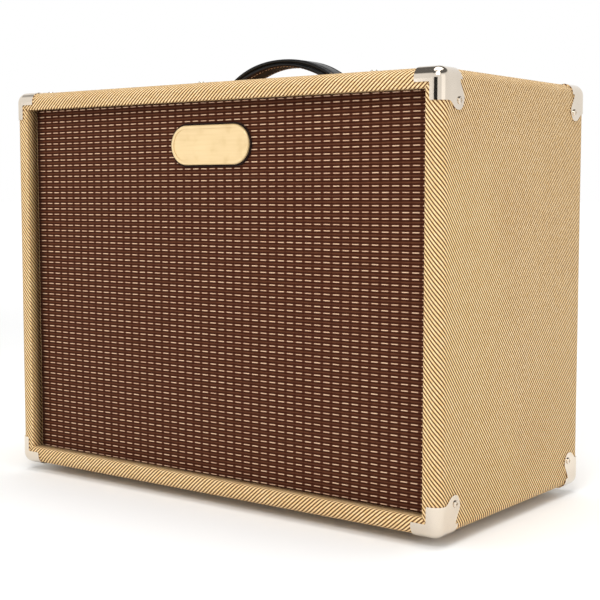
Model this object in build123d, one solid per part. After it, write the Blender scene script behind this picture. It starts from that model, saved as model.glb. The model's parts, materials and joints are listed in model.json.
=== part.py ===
from build123d import *
import math
import os

# A tweed-covered valve guitar combo amplifier: a four-board cabinet with one 12 inch loudspeaker and an
# amplifier chassis hung under the rear half of its top. Millimetres. +Z is up, the front faces -Y, and
# the origin is on the floor, under the middle of the cabinet.

# ---------------------------------------------------------------- cabinet sizes
CABINET_W = 559.0           # over the cloth, side to side
CABINET_D = 286.0           # over the cloth, front to back
CABINET_H = 419.0           # over the cloth, without feet and handle
EDGE_R = 10.0               # radius of every outside edge
COVER_T = 0.75              # tweed cloth
BOARD_T = 17.0              # pine boards
BOND_GAP = 0.05             # glue line between bonded or bolted skins
HOLE_GAP = 0.1              # radius of a clearance hole over its screw
FINGERS = 11                # box-joint fingers along each corner
FOOT_H = 10.0
FOOT_R = 16.0
FOOT_INSET = 60.0           # foot centre from the cabinet's side and front
FOOT_RECESS_R = 6.0
FOOT_RECESS = 5.0           # depth of the recess for the foot's screw head

FRONT_Y = -CABINET_D / 2
REAR_Y = CABINET_D / 2
BASE_Z = FOOT_H
TOP_Z = FOOT_H + CABINET_H
MID_Z = FOOT_H + CABINET_H / 2
WALL = COVER_T + BOARD_T
INNER_X = CABINET_W / 2 - WALL
INNER_BOTTOM = BASE_Z + WALL
INNER_TOP = TOP_Z - WALL
INNER_H = INNER_TOP - INNER_BOTTOM

# ---------------------------------------------------------------- screws; a head is its radius and height
CORNER_HEAD = (3.6, 1.4)
CORNER_SCREW_R = 1.5
CORNER_SCREW_LENGTH = 13.0
HANDLE_HEAD = (3.8, 1.6)
HANDLE_SCREW_R = 2.0
HANDLE_SCREW_Y = 10.0       # each side of the cap's middle
FOOT_HEAD = (4.6, 2.0)
FOOT_SCREW_R = 2.0
REAR_HEAD = (4.2, 1.8)
REAR_SCREW_R = 1.8
REAR_SCREW_LENGTH = 22.0
CHASSIS_HEAD = (6.0, 2.6)
CHASSIS_BOLT_LENGTH = 32.0
CHASSIS_NUT = (9.0, 4.0)    # across flats, height
BITE = 12.0                 # how far a wood screw goes into its board

# ---------------------------------------------------------------- baffle and grille
GRILLE_RECESS = 15.0        # grille cloth behind the front edge
CLOTH_T = 1.0
BAFFLE_T = 12.0
BAFFLE_GAP = 0.5            # round the edge of the baffle and rear panels
LIP_DEPTH = 14.5            # how far the tweed turns in behind the front edge
CLOTH_Y = FRONT_Y + GRILLE_RECESS
BAFFLE_Y = CLOTH_Y + CLOTH_T
BAFFLE_BACK_Y = BAFFLE_Y + BAFFLE_T
BADGE_W = 107.0
BADGE_H = 44.0
BADGE_Z = BASE_Z + 357.0
BADGE_BACKING_T = 1.5
BADGE_T = 2.5

# ---------------------------------------------------------------- rear panels
REAR_PANEL_T = 9.0
REAR_PANEL_Y = REAR_Y - 12.0     # inner face of both panels
UPPER_PANEL_Z = (285.0, 342.0)
LOWER_PANEL_Z = (INNER_BOTTOM + BAFFLE_GAP, 150.0)
CLEAT = 16.0

# ---------------------------------------------------------------- top recess and chassis
WINDOW_X = 210.0            # half length of the control recess
WINDOW_Y = (40.0, 118.0)
WINDOW_R = 8.0
PANEL_T = 1.5
SHEET_T = 1.2
CHASSIS_X = 257.0           # half length of the chassis
CHASSIS_Y = (34.0, 124.0)
CHASSIS_BOTTOM = 345.0
CHASSIS_LIP = 12.0
PANEL_TOP = INNER_TOP - BOND_GAP
PANEL_BOTTOM = PANEL_TOP - PANEL_T
CONTROL_Y = (WINDOW_Y[0] + WINDOW_Y[1]) / 2
APRON_Z = (CHASSIS_BOTTOM + PANEL_BOTTOM) / 2
CHASSIS_BOLT_X = 235.0
CHASSIS_BOLT_Y = (CHASSIS_Y[0] + 7.0, CHASSIS_Y[1] - 7.0)
CHASSIS_BOLT_R = 2.5

# ---------------------------------------------------------------- control panel parts, by X position
JACK_X = (182.0, 142.0)
KNOB_X = {"volume": 92.0, "treble": 42.0, "bass": -8.0}
TOGGLE_X = {"standby": -68.0, "power": -108.0}
PILOT_X = -160.0
SPEAKER_JACK_X = -85.0
FUSE_X = -165.0
INLET_X = -213.0
INLET_FLANGE_T = 3.0
INLET_BODY = (14.0, 10.0)   # half width and half height
INLET_CAVITY = (12.2, 8.2)
INLET_HEAD = (2.8, 1.2)
INLET_SCREW_R = 1.5
INLET_SCREW_X = 20.0        # each side of the inlet's middle
JACK_BORE_R = 3.25
JACK_DEPTH = 28.0
JACK_BUSHING_R = 4.75
JACK_PROUD = 3.5
SHAFT_R = 3.0
SHAFT_CLEARANCE = 0.05
POT_R = 12.0
POT_BUSHING_R = 4.6
KNOB_BASE_GAP = 3.2         # knob above the panel
KNOB_H = 14.0
TOGGLE_TILT = 12.0          # lever angle each side of upright
TOGGLE_BORE_R = 4.0
TOGGLE_PIVOT_Z = PANEL_TOP + 0.5
FUSE_BODY_R = 6.4
FUSE_STEM_R = 5.0
FUSE_CLEARANCE = 0.08

# ---------------------------------------------------------------- valves and transformers
POWER_VALVE_X = (-95.0, -50.0)
PREAMP_VALVE_X = (10.0, 60.0, 110.0)
OCTAL_R = 12.5
NOVAL_R = 9.0
SOCKET_FLANGE_T = 3.0
VALVE_BASE_R = 15.0
VALVE_BASE_H = 20.0
POWER_BULB = (14.2, 58.0, 1.0)      # radius, length, wall
PREAMP_BULB = (10.4, 48.0, 0.9)
POWER_TRANSFORMER_X = -190.0
POWER_CORE = (80.0, 30.0, 62.0)     # width, depth, height
POWER_BELL = (64.0, 18.0, 54.0)
OUTPUT_TRANSFORMER_X = 205.0
OUTPUT_CORE = (58.0, 22.0, 48.0)
OUTPUT_BELL = (46.0, 14.0, 42.0)

# ---------------------------------------------------------------- circuit board
CIRCUIT_X = (-120.0, 235.0)
CIRCUIT_Y = (44.0, 92.0)
CIRCUIT_LIFT = 13.0         # underside above the chassis bottom
CIRCUIT_T = 2.0
PILLAR_R = 3.0
PILLAR_X = (-112.0, 227.0)
PILLAR_Y = (50.0, 86.0)
CAPACITOR_X = (-80.0, -30.0, 20.0, 70.0)
CAPACITOR_Y = 56.0
CAPACITOR_R = 8.0
CAPACITOR_LENGTH = 40.0

# ---------------------------------------------------------------- loudspeaker, 12 inch
SPEAKER_R = 152.4
CUTOUT_R = 141.0
SPEAKER_BOLT_R = 147.0      # bolt circle radius
SPEAKER_BOLTS = 8
BOLT_SHANK_R = 2.4
BOLT_HOLE_R = 2.7
GASKET_T = 3.0
GASKET_INNER_R = 138.2
FRAME_T = 2.0
BASKET_DEPTH = 72.0         # from the baffle to the back of the basket
CONE_T = 1.0
CONE_RIM_R = 121.0
DUST_CAP_R = 33.0
DUST_CAP_RISE = 9.0
DUST_CAP_DEPTH = 39.5
RING_T = 0.8                # surround and spider
SURROUND_OUTER_R = 137.8
SPIDER_R = (26.0, 74.0)
SPIDER_DEPTH = 57.9
FORMER_R = 25.4             # inside of the voice coil former
PLATE_R = 62.0
PLATE_BORE_R = 27.5
MAGNET_R = 78.0
MAGNET_BORE_R = 40.0
MAGNET_DEPTH = (79.0, 99.0)
POLE_R = 24.5
VENT_R = 8.0
BASKET_WINDOWS = 8
BASKET_WINDOW_DEG = 22.0

# ---------------------------------------------------------------- handle
STRAP_W = 28.0
STRAP_APEX = 32.4           # top of the strap above the cabinet top
STRAP_T = 7.8
STRAP_END_T = 4.0
STRAP_HALF = 106.0
CAP_X = (84.0, 126.0)
CAP_W = 38.0
CAP_H = 13.0
CAP_WALL = 1.5
CAP_POCKET_END = 110.0
STRAP_BOTTOM = 2.0          # underside of the strap's ends above the cabinet top
UPPER_SHOULDER = (63.0, 15.8)
LOWER_SHOULDER = (59.5, 8.6)

# ---------------------------------------------------------------- corner protectors
PROTECTOR_T = 1.2
PROTECTOR_ARM = 29.2        # length of the bands along the edges
PROTECTOR_FLANGE = 13.0     # width of the L on the front and rear faces
PROTECTOR_SCREW = (27.0, 28.5)
PROTECTOR_WAIST = (26.6, 10.5)
PROTECTOR_LUG = [(36.0, 25.5), (31.0, 37.5), (20.0, 36.3), (11.0, PROTECTOR_ARM)]
PROTECTOR_FOOT = 33.0       # width of the lug's face at the edge
PROTECTOR_LUG_R = 8.0
PROTECTOR_ELL_R = 1.5
OVERSHOOT = 5.0             # how far a cutting outline passes the edge


def place(part, x=0.0, y=0.0, z=0.0):
    """Move a part by x, y, z."""
    return Pos(x, y, z) * part


def box_between(x_range, y_range, z_range):
    """A box between two corners."""
    size = [high - low for low, high in (x_range, y_range, z_range)]
    centre = [(high + low) / 2 for low, high in (x_range, y_range, z_range)]
    return Pos(*centre) * Box(*size)


def cylinder_up(radius, bottom, top, x=0.0, y=0.0):
    """A vertical cylinder between two heights."""
    return Pos(x, y, (bottom + top) / 2) * Cylinder(radius, top - bottom)


def cylinder_back(radius, front, rear, x=0.0, z=0.0):
    """A cylinder along Y between two depths."""
    return Pos(x, (front + rear) / 2, z) * Rot(90, 0, 0) * Cylinder(radius, rear - front)


def cylinder_across(radius, left, right, y=0.0, z=0.0):
    """A cylinder along X between two sides."""
    return Pos((left + right) / 2, y, z) * Rot(0, 90, 0) * Cylinder(radius, right - left)


def hexagon_up(across_flats, bottom, top, x=0.0, y=0.0):
    """A vertical hexagonal prism, such as a nut."""
    outline = RegularPolygon(across_flats / 2, 6, major_radius=False)
    return Pos(x, y, bottom) * extrude(outline, top - bottom)


def revolve_up(points):
    """Turn a closed outline of (radius, height) points about Z."""
    outline = make_face(Plane.XZ * Polyline(*points, close=True))
    return revolve(outline, Axis.Z)


def cabinet_block(inset):
    """The outside of the cabinet as one block with round edges, shrunk by inset all over."""
    block = Box(CABINET_W - 2 * inset, CABINET_D - 2 * inset, CABINET_H - 2 * inset)
    block = fillet(block.edges(), EDGE_R - inset)
    return place(block, z=MID_Z)


# ---------------------------------------------------------------- screws and bolts
def cross_recess(head_r, head_h):
    """The two slots of a cross-head screw, cut down from the top of a head that stands on height zero."""
    arm = head_r * 1.15
    width = head_r * 0.28
    depth = head_h * 0.55
    slots = Box(arm, width, depth) + Box(width, arm, depth)
    return place(slots, z=head_h - depth / 2 + 0.01)


def screw_up(head_r, head_h, shank_r, length, x, y, z):
    """A round-head screw that points down, its head standing on the plane z."""
    head = Cylinder(head_r, head_h, align=(Align.CENTER, Align.CENTER, Align.MIN))
    head = chamfer(head.faces().sort_by(Axis.Z)[-1].edges(), head_h * 0.45)
    head = head - cross_recess(head_r, head_h)
    return place(head, x, y, z) + cylinder_up(shank_r, z - length, z, x, y)


def screw_at(direction, head_r, head_h, shank_r, length, x, y, z):
    """A round-head screw whose head faces direction: +X, -X, +Y, +Z or -Z."""
    turn = {"+Z": Rot(0, 0, 0), "-Z": Rot(180, 0, 0), "+X": Rot(0, 90, 0), "-X": Rot(0, -90, 0),
            "+Y": Rot(-90, 0, 0)}[direction]
    return Pos(x, y, z) * turn * screw_up(head_r, head_h, shank_r, length, 0, 0, 0)


def protector_screw_places():
    """Where the corner screws go: direction their heads face, and position of the underside of the head."""
    along, across = PROTECTOR_SCREW
    proud = PROTECTOR_T + BOND_GAP
    places = []
    for x_sign in (-1, 1):
        for y_sign in (-1, 1):
            for z_sign in (-1, 1):
                y = y_sign * (CABINET_D / 2 - along)
                side_z = MID_Z + z_sign * (CABINET_H / 2 - across)
                side_x = x_sign * (CABINET_W / 2 + proud)
                places.append(("+X" if x_sign > 0 else "-X", side_x, y, side_z))
                flat_x = x_sign * (CABINET_W / 2 - across)
                flat_z = MID_Z + z_sign * (CABINET_H / 2 + proud)
                places.append(("+Z" if z_sign > 0 else "-Z", flat_x, y, flat_z))
    return places


def corner_screws(shank_r):
    """All sixteen corner protector screws; a larger shank_r gives the holes for them."""
    return [screw_at(way, *CORNER_HEAD, shank_r, CORNER_SCREW_LENGTH, x, y, z)
            for way, x, y, z in protector_screw_places()]


def handle_screws(shank_r):
    """Four screws that hold the handle end caps."""
    x = (CAP_POCKET_END + CAP_X[1]) / 2
    top = TOP_Z + BOND_GAP + CAP_H
    return [screw_up(*HANDLE_HEAD, shank_r, CAP_H + BITE, sign * x, y, top)
            for sign in (-1, 1) for y in (-HANDLE_SCREW_Y, HANDLE_SCREW_Y)]


def foot_places():
    x = CABINET_W / 2 - FOOT_INSET
    y = CABINET_D / 2 - FOOT_INSET
    return [(sx * x, sy * y) for sx in (-1, 1) for sy in (-1, 1)]


def foot_screws(shank_r):
    """One screw up through each foot, its head in the foot's recess."""
    length = FOOT_H - FOOT_RECESS + BITE
    return [screw_at("-Z", *FOOT_HEAD, shank_r, length, x, y, FOOT_RECESS) for x, y in foot_places()]


def chassis_bolts(shank_r):
    """Four bolts down through the cabinet top into nuts under the chassis lips."""
    flats, height = CHASSIS_NUT
    nut_top = PANEL_BOTTOM - SHEET_T - BOND_GAP
    bolts = []
    for x, y in chassis_bolt_places():
        bolt = screw_up(*CHASSIS_HEAD, shank_r, CHASSIS_BOLT_LENGTH, x, y, TOP_Z + BOND_GAP)
        bolts.append(bolt + hexagon_up(flats, nut_top - height, nut_top, x, y))
    return bolts


def rear_screws(shank_r):
    """Eight screws that hold the rear panels to their cleats."""
    heights = (UPPER_PANEL_Z[0] + 14.0, UPPER_PANEL_Z[1] - 14.0)
    heights += (LOWER_PANEL_Z[0] + 20.0, LOWER_PANEL_Z[1] - 20.0)
    x = INNER_X - CLEAT / 2
    y = REAR_PANEL_Y + REAR_PANEL_T + BOND_GAP
    return [screw_at("+Y", *REAR_HEAD, shank_r, REAR_SCREW_LENGTH, sign * x, y, z)
            for sign in (-1, 1) for z in heights]


def cut_all(body, cutters):
    """Subtract every cutter from a body."""
    for cutter in cutters:
        body = body - cutter
    return body


# ---------------------------------------------------------------- cabinet boards
def board_ring():
    """The four boards as one ring, open front and back, before it is split at the corners."""
    ring = cabinet_block(COVER_T + BOND_GAP)
    hollow = Box(2 * INNER_X, CABINET_D + 10, INNER_H)
    return ring - place(hollow, z=(INNER_TOP + INNER_BOTTOM) / 2)


def finger_slabs(first):
    """Every second finger of the box joints, as slabs across the whole cabinet."""
    pitch = CABINET_D / FINGERS
    slabs = []
    for index in range(first, FINGERS, 2):
        y = FRONT_Y + index * pitch
        slabs.append(box_between((-CABINET_W, CABINET_W), (y, y + pitch), (0, 2 * TOP_Z)))
    return slabs


def window_block(inset):
    """The control recess through the top board, shrunk by inset."""
    x = WINDOW_X - inset
    block = box_between((-x, x), (WINDOW_Y[0] + inset, WINDOW_Y[1] - inset), (INNER_TOP - 1, TOP_Z + 1))
    return fillet(block.edges().filter_by(Axis.Z), WINDOW_R - inset)


def boards():
    """Top, bottom, left and right boards, box-jointed at the corners."""
    ring = board_ring()
    wide = CABINET_W
    high = 2 * TOP_Z
    deep = (-CABINET_D, CABINET_D)
    middle = box_between((-INNER_X, INNER_X), deep, (-high, high))
    level = box_between((-wide, wide), deep, (INNER_BOTTOM, INNER_TOP))
    flat = ring - level
    flat = flat - [slab - middle for slab in finger_slabs(1)]
    upright = ring - middle
    upright = upright - [slab - level for slab in finger_slabs(0)]
    upper = box_between((-wide, wide), deep, (MID_Z, high))
    right_half = box_between((0, wide), deep, (-high, high))
    top = (flat & upper) - window_block(0)
    bottom = flat - upper
    right = upright & right_half
    left = upright - right_half
    holes = corner_screws(CORNER_SCREW_R + HOLE_GAP)
    bolts = [chassis_bolt_hole(x, y) for x, y in chassis_bolt_places()]
    top = cut_all(top, holes + handle_screws(HANDLE_SCREW_R + HOLE_GAP) + bolts)
    bottom = cut_all(bottom, holes + foot_screws(FOOT_SCREW_R + HOLE_GAP))
    return {"top_board": top, "bottom_board": bottom, "left_board": cut_all(left, holes),
            "right_board": cut_all(right, holes)}


def chassis_bolt_places():
    return [(x, y) for x in (-CHASSIS_BOLT_X, CHASSIS_BOLT_X) for y in CHASSIS_BOLT_Y]


def chassis_bolt_hole(x, y):
    """Clearance hole for one chassis bolt, through the top, the panel and the chassis lip."""
    return cylinder_up(CHASSIS_BOLT_R + HOLE_GAP, CHASSIS_BOTTOM + 20, TOP_Z + 1, x, y)


def tweed_cover():
    """One skin of cloth over all four boards, turned in behind the front edge and into the recess."""
    skin = cabinet_block(0) - cabinet_block(COVER_T)
    inner_y = (FRONT_Y - 1, REAR_Y + 1)
    lining_x = INNER_X - COVER_T
    lining_z = (INNER_BOTTOM + COVER_T, INNER_TOP - COVER_T)
    hollow = box_between((-INNER_X, INNER_X), inner_y, (INNER_BOTTOM, INNER_TOP))
    lip_y = (FRONT_Y, FRONT_Y + LIP_DEPTH)
    lip = box_between((-INNER_X + BOND_GAP, INNER_X - BOND_GAP), (lip_y[0] + 0.1, lip_y[1]),
                      (INNER_BOTTOM + BOND_GAP, INNER_TOP - BOND_GAP))
    mouth = box_between((-lining_x, lining_x), inner_y, lining_z)
    front_edge = box_between((-INNER_X, INNER_X), (FRONT_Y, FRONT_Y + COVER_T), (INNER_BOTTOM, INNER_TOP))
    skin = (skin - hollow) + (lip - mouth) + (front_edge - mouth)
    window = window_block(BOND_GAP) & box_between((-300, 300), (0, 200), (INNER_TOP, TOP_Z))
    skin = skin + window - window_block(COVER_T)
    holes = corner_screws(CORNER_SCREW_R + HOLE_GAP) + handle_screws(HANDLE_SCREW_R + HOLE_GAP)
    holes += foot_screws(FOOT_SCREW_R + HOLE_GAP)
    return cut_all(skin, holes + [chassis_bolt_hole(x, y) for x, y in chassis_bolt_places()])


def cabinet_cleats():
    """Two battens behind the baffle and four blocks behind the rear panels, glued to the side boards."""
    blocks = []
    for sign in (-1, 1):
        x_range = sorted((sign * (INNER_X - CLEAT), sign * (INNER_X - BOND_GAP)))
        blocks.append(box_between(x_range, (BAFFLE_BACK_Y, BAFFLE_BACK_Y + CLEAT), (40.0, 400.0)))
        for low, high in (UPPER_PANEL_Z, LOWER_PANEL_Z):
            blocks.append(box_between(x_range, (REAR_PANEL_Y - CLEAT, REAR_PANEL_Y), (low + 4, high - 4)))
    blocks = [cut_all(block, rear_screws(REAR_SCREW_R + HOLE_GAP)) for block in blocks]
    return Compound(children=blocks)


def rear_panel(z_range):
    """A cloth-covered plywood rear panel."""
    x = INNER_X - BAFFLE_GAP
    panel = box_between((-x, x), (REAR_PANEL_Y, REAR_PANEL_Y + REAR_PANEL_T), z_range)
    panel = fillet(panel.edges().filter_by(Axis.X), 1.5)
    return cut_all(panel, rear_screws(REAR_SCREW_R + 2 * HOLE_GAP))


# ---------------------------------------------------------------- baffle, grille and badge
def baffle_outline():
    return Rectangle(2 * (INNER_X - BAFFLE_GAP), INNER_H - 2 * BAFFLE_GAP)


def sheet_between(outline, front, rear):
    """Extrude an outline drawn in X and Z from the depth front to the depth rear."""
    z = (INNER_TOP + INNER_BOTTOM) / 2
    return Pos(0, rear, z) * Rot(90, 0, 0) * extrude(outline, rear - front)


def baffle_board():
    """Plywood baffle with the speaker cut-out and its counterbored bolt holes."""
    baffle = sheet_between(baffle_outline(), BAFFLE_Y, BAFFLE_BACK_Y)
    baffle = baffle - cylinder_back(CUTOUT_R, BAFFLE_Y - 1, BAFFLE_BACK_Y + 1, 0, MID_Z)
    for x, z in speaker_bolt_places():
        baffle = baffle - cylinder_back(BOLT_HOLE_R, BAFFLE_Y - 1, BAFFLE_BACK_Y + 1, x, z)
        baffle = baffle - cylinder_back(5.3, BAFFLE_Y - 1, BAFFLE_Y + 2.2, x, z)
    return baffle


def grille_cloth():
    return sheet_between(baffle_outline(), CLOTH_Y, BAFFLE_Y)


def badge_outline(inset):
    """A plain lozenge with round ends."""
    height = BADGE_H - 2 * inset
    return SlotOverall(BADGE_W - 2 * inset, height)


def badge_backing():
    backing = Pos(0, CLOTH_Y, BADGE_Z) * Rot(90, 0, 0) * extrude(badge_outline(0), BADGE_BACKING_T)
    return backing


def badge_plate():
    """A raised plain plate with a sunk field inside its rim."""
    front = CLOTH_Y - BADGE_BACKING_T
    plate = extrude(badge_outline(2.0), BADGE_T)
    plate = chamfer(plate.faces().sort_by(Axis.Z)[-1].edges(), 0.8)
    field = Pos(0, 0, BADGE_T - 0.7) * extrude(badge_outline(5.5), 2.0)
    return Pos(0, front, BADGE_Z) * Rot(90, 0, 0) * (plate - field)


# ---------------------------------------------------------------- corners, handle and feet
def protector_face(points, rounded, radius):
    """The outline of one protector face, its corners listed in rounded turned to arcs."""
    face = make_face(Polyline(*points, close=True))
    corners = [vertex for vertex in face.vertices() if (round(vertex.X, 3), round(vertex.Y, 3)) in rounded]
    return fillet(corners, radius)


def corner_protector():
    """The stamped right front top corner: a waisted lug on the side and the top, an L in front."""
    outside = -OVERSHOOT
    arm = PROTECTOR_ARM
    flange = PROTECTOR_FLANGE
    lug_turns = [PROTECTOR_WAIST, *PROTECTOR_LUG]
    lug_outline = [(outside, outside), (PROTECTOR_FOOT, outside), *lug_turns, (outside, arm)]
    lug_face = protector_face(lug_outline, lug_turns, PROTECTOR_LUG_R)
    ell_turns = [(arm, flange), (flange, flange), (flange, arm)]
    ell_outline = [(outside, outside), (arm, outside), *ell_turns, (outside, arm)]
    ell_face = protector_face(ell_outline, ell_turns, PROTECTOR_ELL_R)
    side_plane = Plane(origin=(CABINET_W / 2 - EDGE_R, FRONT_Y, TOP_Z), x_dir=(0, 1, 0), z_dir=(-1, 0, 0))
    top_plane = Plane(origin=(CABINET_W / 2, FRONT_Y, TOP_Z - EDGE_R), x_dir=(0, 1, 0), z_dir=(0, 0, 1))
    front_plane = Plane(origin=(CABINET_W / 2, FRONT_Y + EDGE_R, TOP_Z), x_dir=(-1, 0, 0), z_dir=(0, -1, 0))
    reach = EDGE_R + OVERSHOOT
    side = extrude(side_plane * lug_face, -reach)
    top = extrude(top_plane * lug_face, reach)
    front = extrude(front_plane * ell_face, reach)
    shell = cabinet_block(-PROTECTOR_T - BOND_GAP) - cabinet_block(-BOND_GAP)
    return cut_all(shell & (side + top + front), corner_screws(CORNER_SCREW_R + HOLE_GAP))


def corner_protectors():
    """Eight protectors, mirrored from one."""
    first = corner_protector()
    middle = Plane(origin=(0, 0, MID_Z), z_dir=(0, 0, 1))
    corners = [first, mirror(first, Plane.YZ)]
    corners += [mirror(corner, Plane.XZ) for corner in corners]
    corners += [mirror(corner, middle) for corner in corners]
    return Compound(children=corners)


def strap_edge(ends, shoulder, apex):
    """Half of one long edge of the strap: flat in the cap, then up to the middle."""
    flat = Line((STRAP_HALF, ends), (CAP_X[0] + 4, ends))
    rise = Spline((CAP_X[0] + 4, ends), shoulder, (0, apex), tangents=[(-1, 0), (-1, 0)])
    return [flat, rise]


def handle_strap():
    """The moulded strap: its side outline, extruded across its width."""
    upper = strap_edge(STRAP_BOTTOM + STRAP_END_T, UPPER_SHOULDER, STRAP_APEX)
    lower = strap_edge(STRAP_BOTTOM, LOWER_SHOULDER, STRAP_APEX - STRAP_T)
    end = Line((STRAP_HALF, STRAP_BOTTOM), (STRAP_HALF, STRAP_BOTTOM + STRAP_END_T))
    middle = Line((0, STRAP_APEX - STRAP_T), (0, STRAP_APEX))
    half = make_face(Curve() + upper + lower + [end, middle])
    strap = extrude(Plane.XZ * half, STRAP_W / 2, both=True)
    strap = strap + mirror(strap, Plane.YZ)
    return place(strap, z=TOP_Z + BOND_GAP)


def handle_end_cap():
    """The right end cap: a rounded cover with a pocket for the strap's end and a solid screw pad."""
    low = TOP_Z + BOND_GAP
    cap = box_between(CAP_X, (-CAP_W / 2, CAP_W / 2), (low, low + CAP_H))
    cap = fillet(cap.edges().filter_by(Axis.Z), 5.0)
    cap = fillet(cap.faces().sort_by(Axis.Z)[-1].edges(), 3.0)
    half = CAP_W / 2 - 4.5
    pocket = box_between((CAP_X[0] - 10, CAP_POCKET_END), (-half, half), (low - 1, low + CAP_H - CAP_WALL))
    return cut_all(cap - pocket, handle_screws(HANDLE_SCREW_R + HOLE_GAP))


def handle_end_caps():
    cap = handle_end_cap()
    return Compound(children=[cap, mirror(cap, Plane.YZ)])


def rubber_foot(x, y):
    """A tapered rubber foot with a recess for its screw."""
    foot = revolve_up([(0, 0), (FOOT_R - 2, 0), (FOOT_R, FOOT_H - BOND_GAP), (0, FOOT_H - BOND_GAP)])
    foot = foot - cylinder_up(FOOT_RECESS_R, -1.0, FOOT_RECESS)
    foot = foot - cylinder_up(FOOT_SCREW_R + HOLE_GAP, FOOT_RECESS - 1, FOOT_H + 1)
    return place(foot, x, y)


# ---------------------------------------------------------------- loudspeaker, drawn with its axis up
def speaker_place(part):
    """Stand a speaker part behind the baffle: its height becomes depth behind the baffle."""
    return Pos(0, BAFFLE_BACK_Y, MID_Z) * Rot(-90, 0, 0) * part


def speaker_bolt_places():
    """X and Z of each mounting bolt."""
    places = []
    for index in range(SPEAKER_BOLTS):
        angle = math.radians(22.5 + index * 360 / SPEAKER_BOLTS)
        places.append((SPEAKER_BOLT_R * math.cos(angle), MID_Z + SPEAKER_BOLT_R * math.sin(angle)))
    return places


def speaker_gasket():
    profile = [(GASKET_INNER_R, 0), (SPEAKER_R, 0), (SPEAKER_R, GASKET_T), (GASKET_INNER_R, GASKET_T)]
    ring = revolve_up(profile)
    return cut_all(speaker_place(ring), speaker_bolt_holes())


def speaker_bolt_holes():
    return [cylinder_back(BOLT_HOLE_R, BAFFLE_Y - 1, BAFFLE_BACK_Y + 20, x, z)
            for x, z in speaker_bolt_places()]


def speaker_basket():
    """Pressed steel frame: flange, windowed bowl, spider ledge and rear plate."""
    t = FRAME_T
    back = BASKET_DEPTH
    ledge = back - 12
    bend = back - 16
    outer = [(SPEAKER_R, GASKET_T), (SPEAKER_R, GASKET_T + t), (138.5, GASKET_T + t), (120, 18),
             (82, bend), (76, ledge), (70, ledge), (70, back)]
    inner = [(MAGNET_BORE_R, back), (MAGNET_BORE_R, back - t), (70 - t, back - t), (70 - t, ledge - t),
             (75, ledge - t), (80.5, bend - t), (118, 18 - t), (135, GASKET_T + t), (135, GASKET_T)]
    frame = revolve_up(outer + inner)
    window = Rot(0, 0, -BASKET_WINDOW_DEG / 2) * revolve(
        make_face(Plane.XZ * Polyline((78, 20), (130, 20), (130, 54), (78, 54), close=True)),
        Axis.Z, BASKET_WINDOW_DEG)
    for index in range(BASKET_WINDOWS):
        frame = frame - Rot(0, 0, index * 360 / BASKET_WINDOWS) * window
    return cut_all(speaker_place(frame), speaker_bolt_holes())


def corrugated_ring(inner_r, outer_r, waves, height, level, land):
    """A thin corrugated ring between two flat lands, such as a surround or a spider."""
    steps = 8 * waves
    upper = []
    for index in range(steps + 1):
        share = index / steps
        radius = inner_r + land + share * (outer_r - inner_r - 2 * land)
        upper.append((radius, level + height * math.sin(share * waves * 2 * math.pi)))
    upper = [(inner_r, level)] + upper + [(outer_r, level)]
    lower = [(radius, depth - RING_T) for radius, depth in reversed(upper)]
    return revolve_up(upper + lower)


def speaker_cone():
    """Paper cone with a slightly curved wall, from its rim to the voice coil."""
    wall = [(CONE_RIM_R, 2.0), (80.0, 21.0), (50.0, 33.5), (26.3, 45.0)]
    back = [(radius, depth + CONE_T) for radius, depth in reversed(wall)]
    return speaker_place(revolve_up(wall + back))


def dust_cap():
    """A shallow dome over the coil."""
    rise = DUST_CAP_RISE
    sphere_r = (DUST_CAP_R ** 2 + rise ** 2) / (2 * rise)
    dome = Sphere(sphere_r) - Sphere(sphere_r - RING_T)
    around = (-2 * DUST_CAP_R, 2 * DUST_CAP_R)
    dome = place(dome, z=sphere_r - rise) & box_between(around, around, (-rise - 1, 0))
    return speaker_place(place(dome, z=DUST_CAP_DEPTH))


def voice_coil():
    """Former tube with its winding."""
    former = Cylinder(FORMER_R + 0.5, 40.0) - Cylinder(FORMER_R, 42.0)
    winding = Cylinder(FORMER_R + 1.2, 12.0) - Cylinder(FORMER_R, 14.0)
    return speaker_place(place(former, z=62.5) + place(winding, z=75.5))


def front_plate():
    low = BASKET_DEPTH + BOND_GAP
    high = MAGNET_DEPTH[0]
    profile = [(PLATE_BORE_R, low), (PLATE_R, low), (PLATE_R, high), (PLATE_BORE_R, high)]
    return speaker_place(revolve_up(profile))


def magnet_ring():
    low = MAGNET_DEPTH[0] + BOND_GAP
    high = MAGNET_DEPTH[1]
    profile = [(MAGNET_BORE_R, low), (MAGNET_R, low), (MAGNET_R, high), (MAGNET_BORE_R, high)]
    return speaker_place(revolve_up(profile))


def yoke():
    """Back plate and vented pole."""
    tip = BASKET_DEPTH + 1
    low = MAGNET_DEPTH[1] + BOND_GAP
    high = MAGNET_DEPTH[1] + 8
    edge_r = PLATE_R - 2
    profile = [(VENT_R, tip), (POLE_R, tip), (POLE_R, low), (edge_r, low), (edge_r, high - 2),
               (edge_r - 3, high), (VENT_R, high)]
    return speaker_place(revolve_up(profile))


def terminal_strip():
    """Fibre strip on the basket with two solder lugs."""
    low = BASKET_DEPTH + BOND_GAP
    strip = box_between((64, 96), (-12, 12), (low, low + 2))
    lugs = [box_between((82, 104), (y - 2.5, y + 2.5), (low + 2.05, low + 2.85)) for y in (-7, 7)]
    return Compound(children=[speaker_place(part) for part in [strip] + lugs])


def speaker_bolt(x, z):
    """A flat-head bolt from the front of the baffle, with its nut behind the basket."""
    head = cylinder_back(5.0, BAFFLE_Y + 0.1, BAFFLE_Y + 2.1, x, z)
    shank = cylinder_back(BOLT_SHANK_R, BAFFLE_Y + 1, BAFFLE_BACK_Y + 14, x, z)
    nut = Pos(x, BAFFLE_BACK_Y + 5.05, z) * Rot(-90, 0, 0) * hexagon_up(8.0, 0, 4)
    return head + shank + nut


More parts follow.
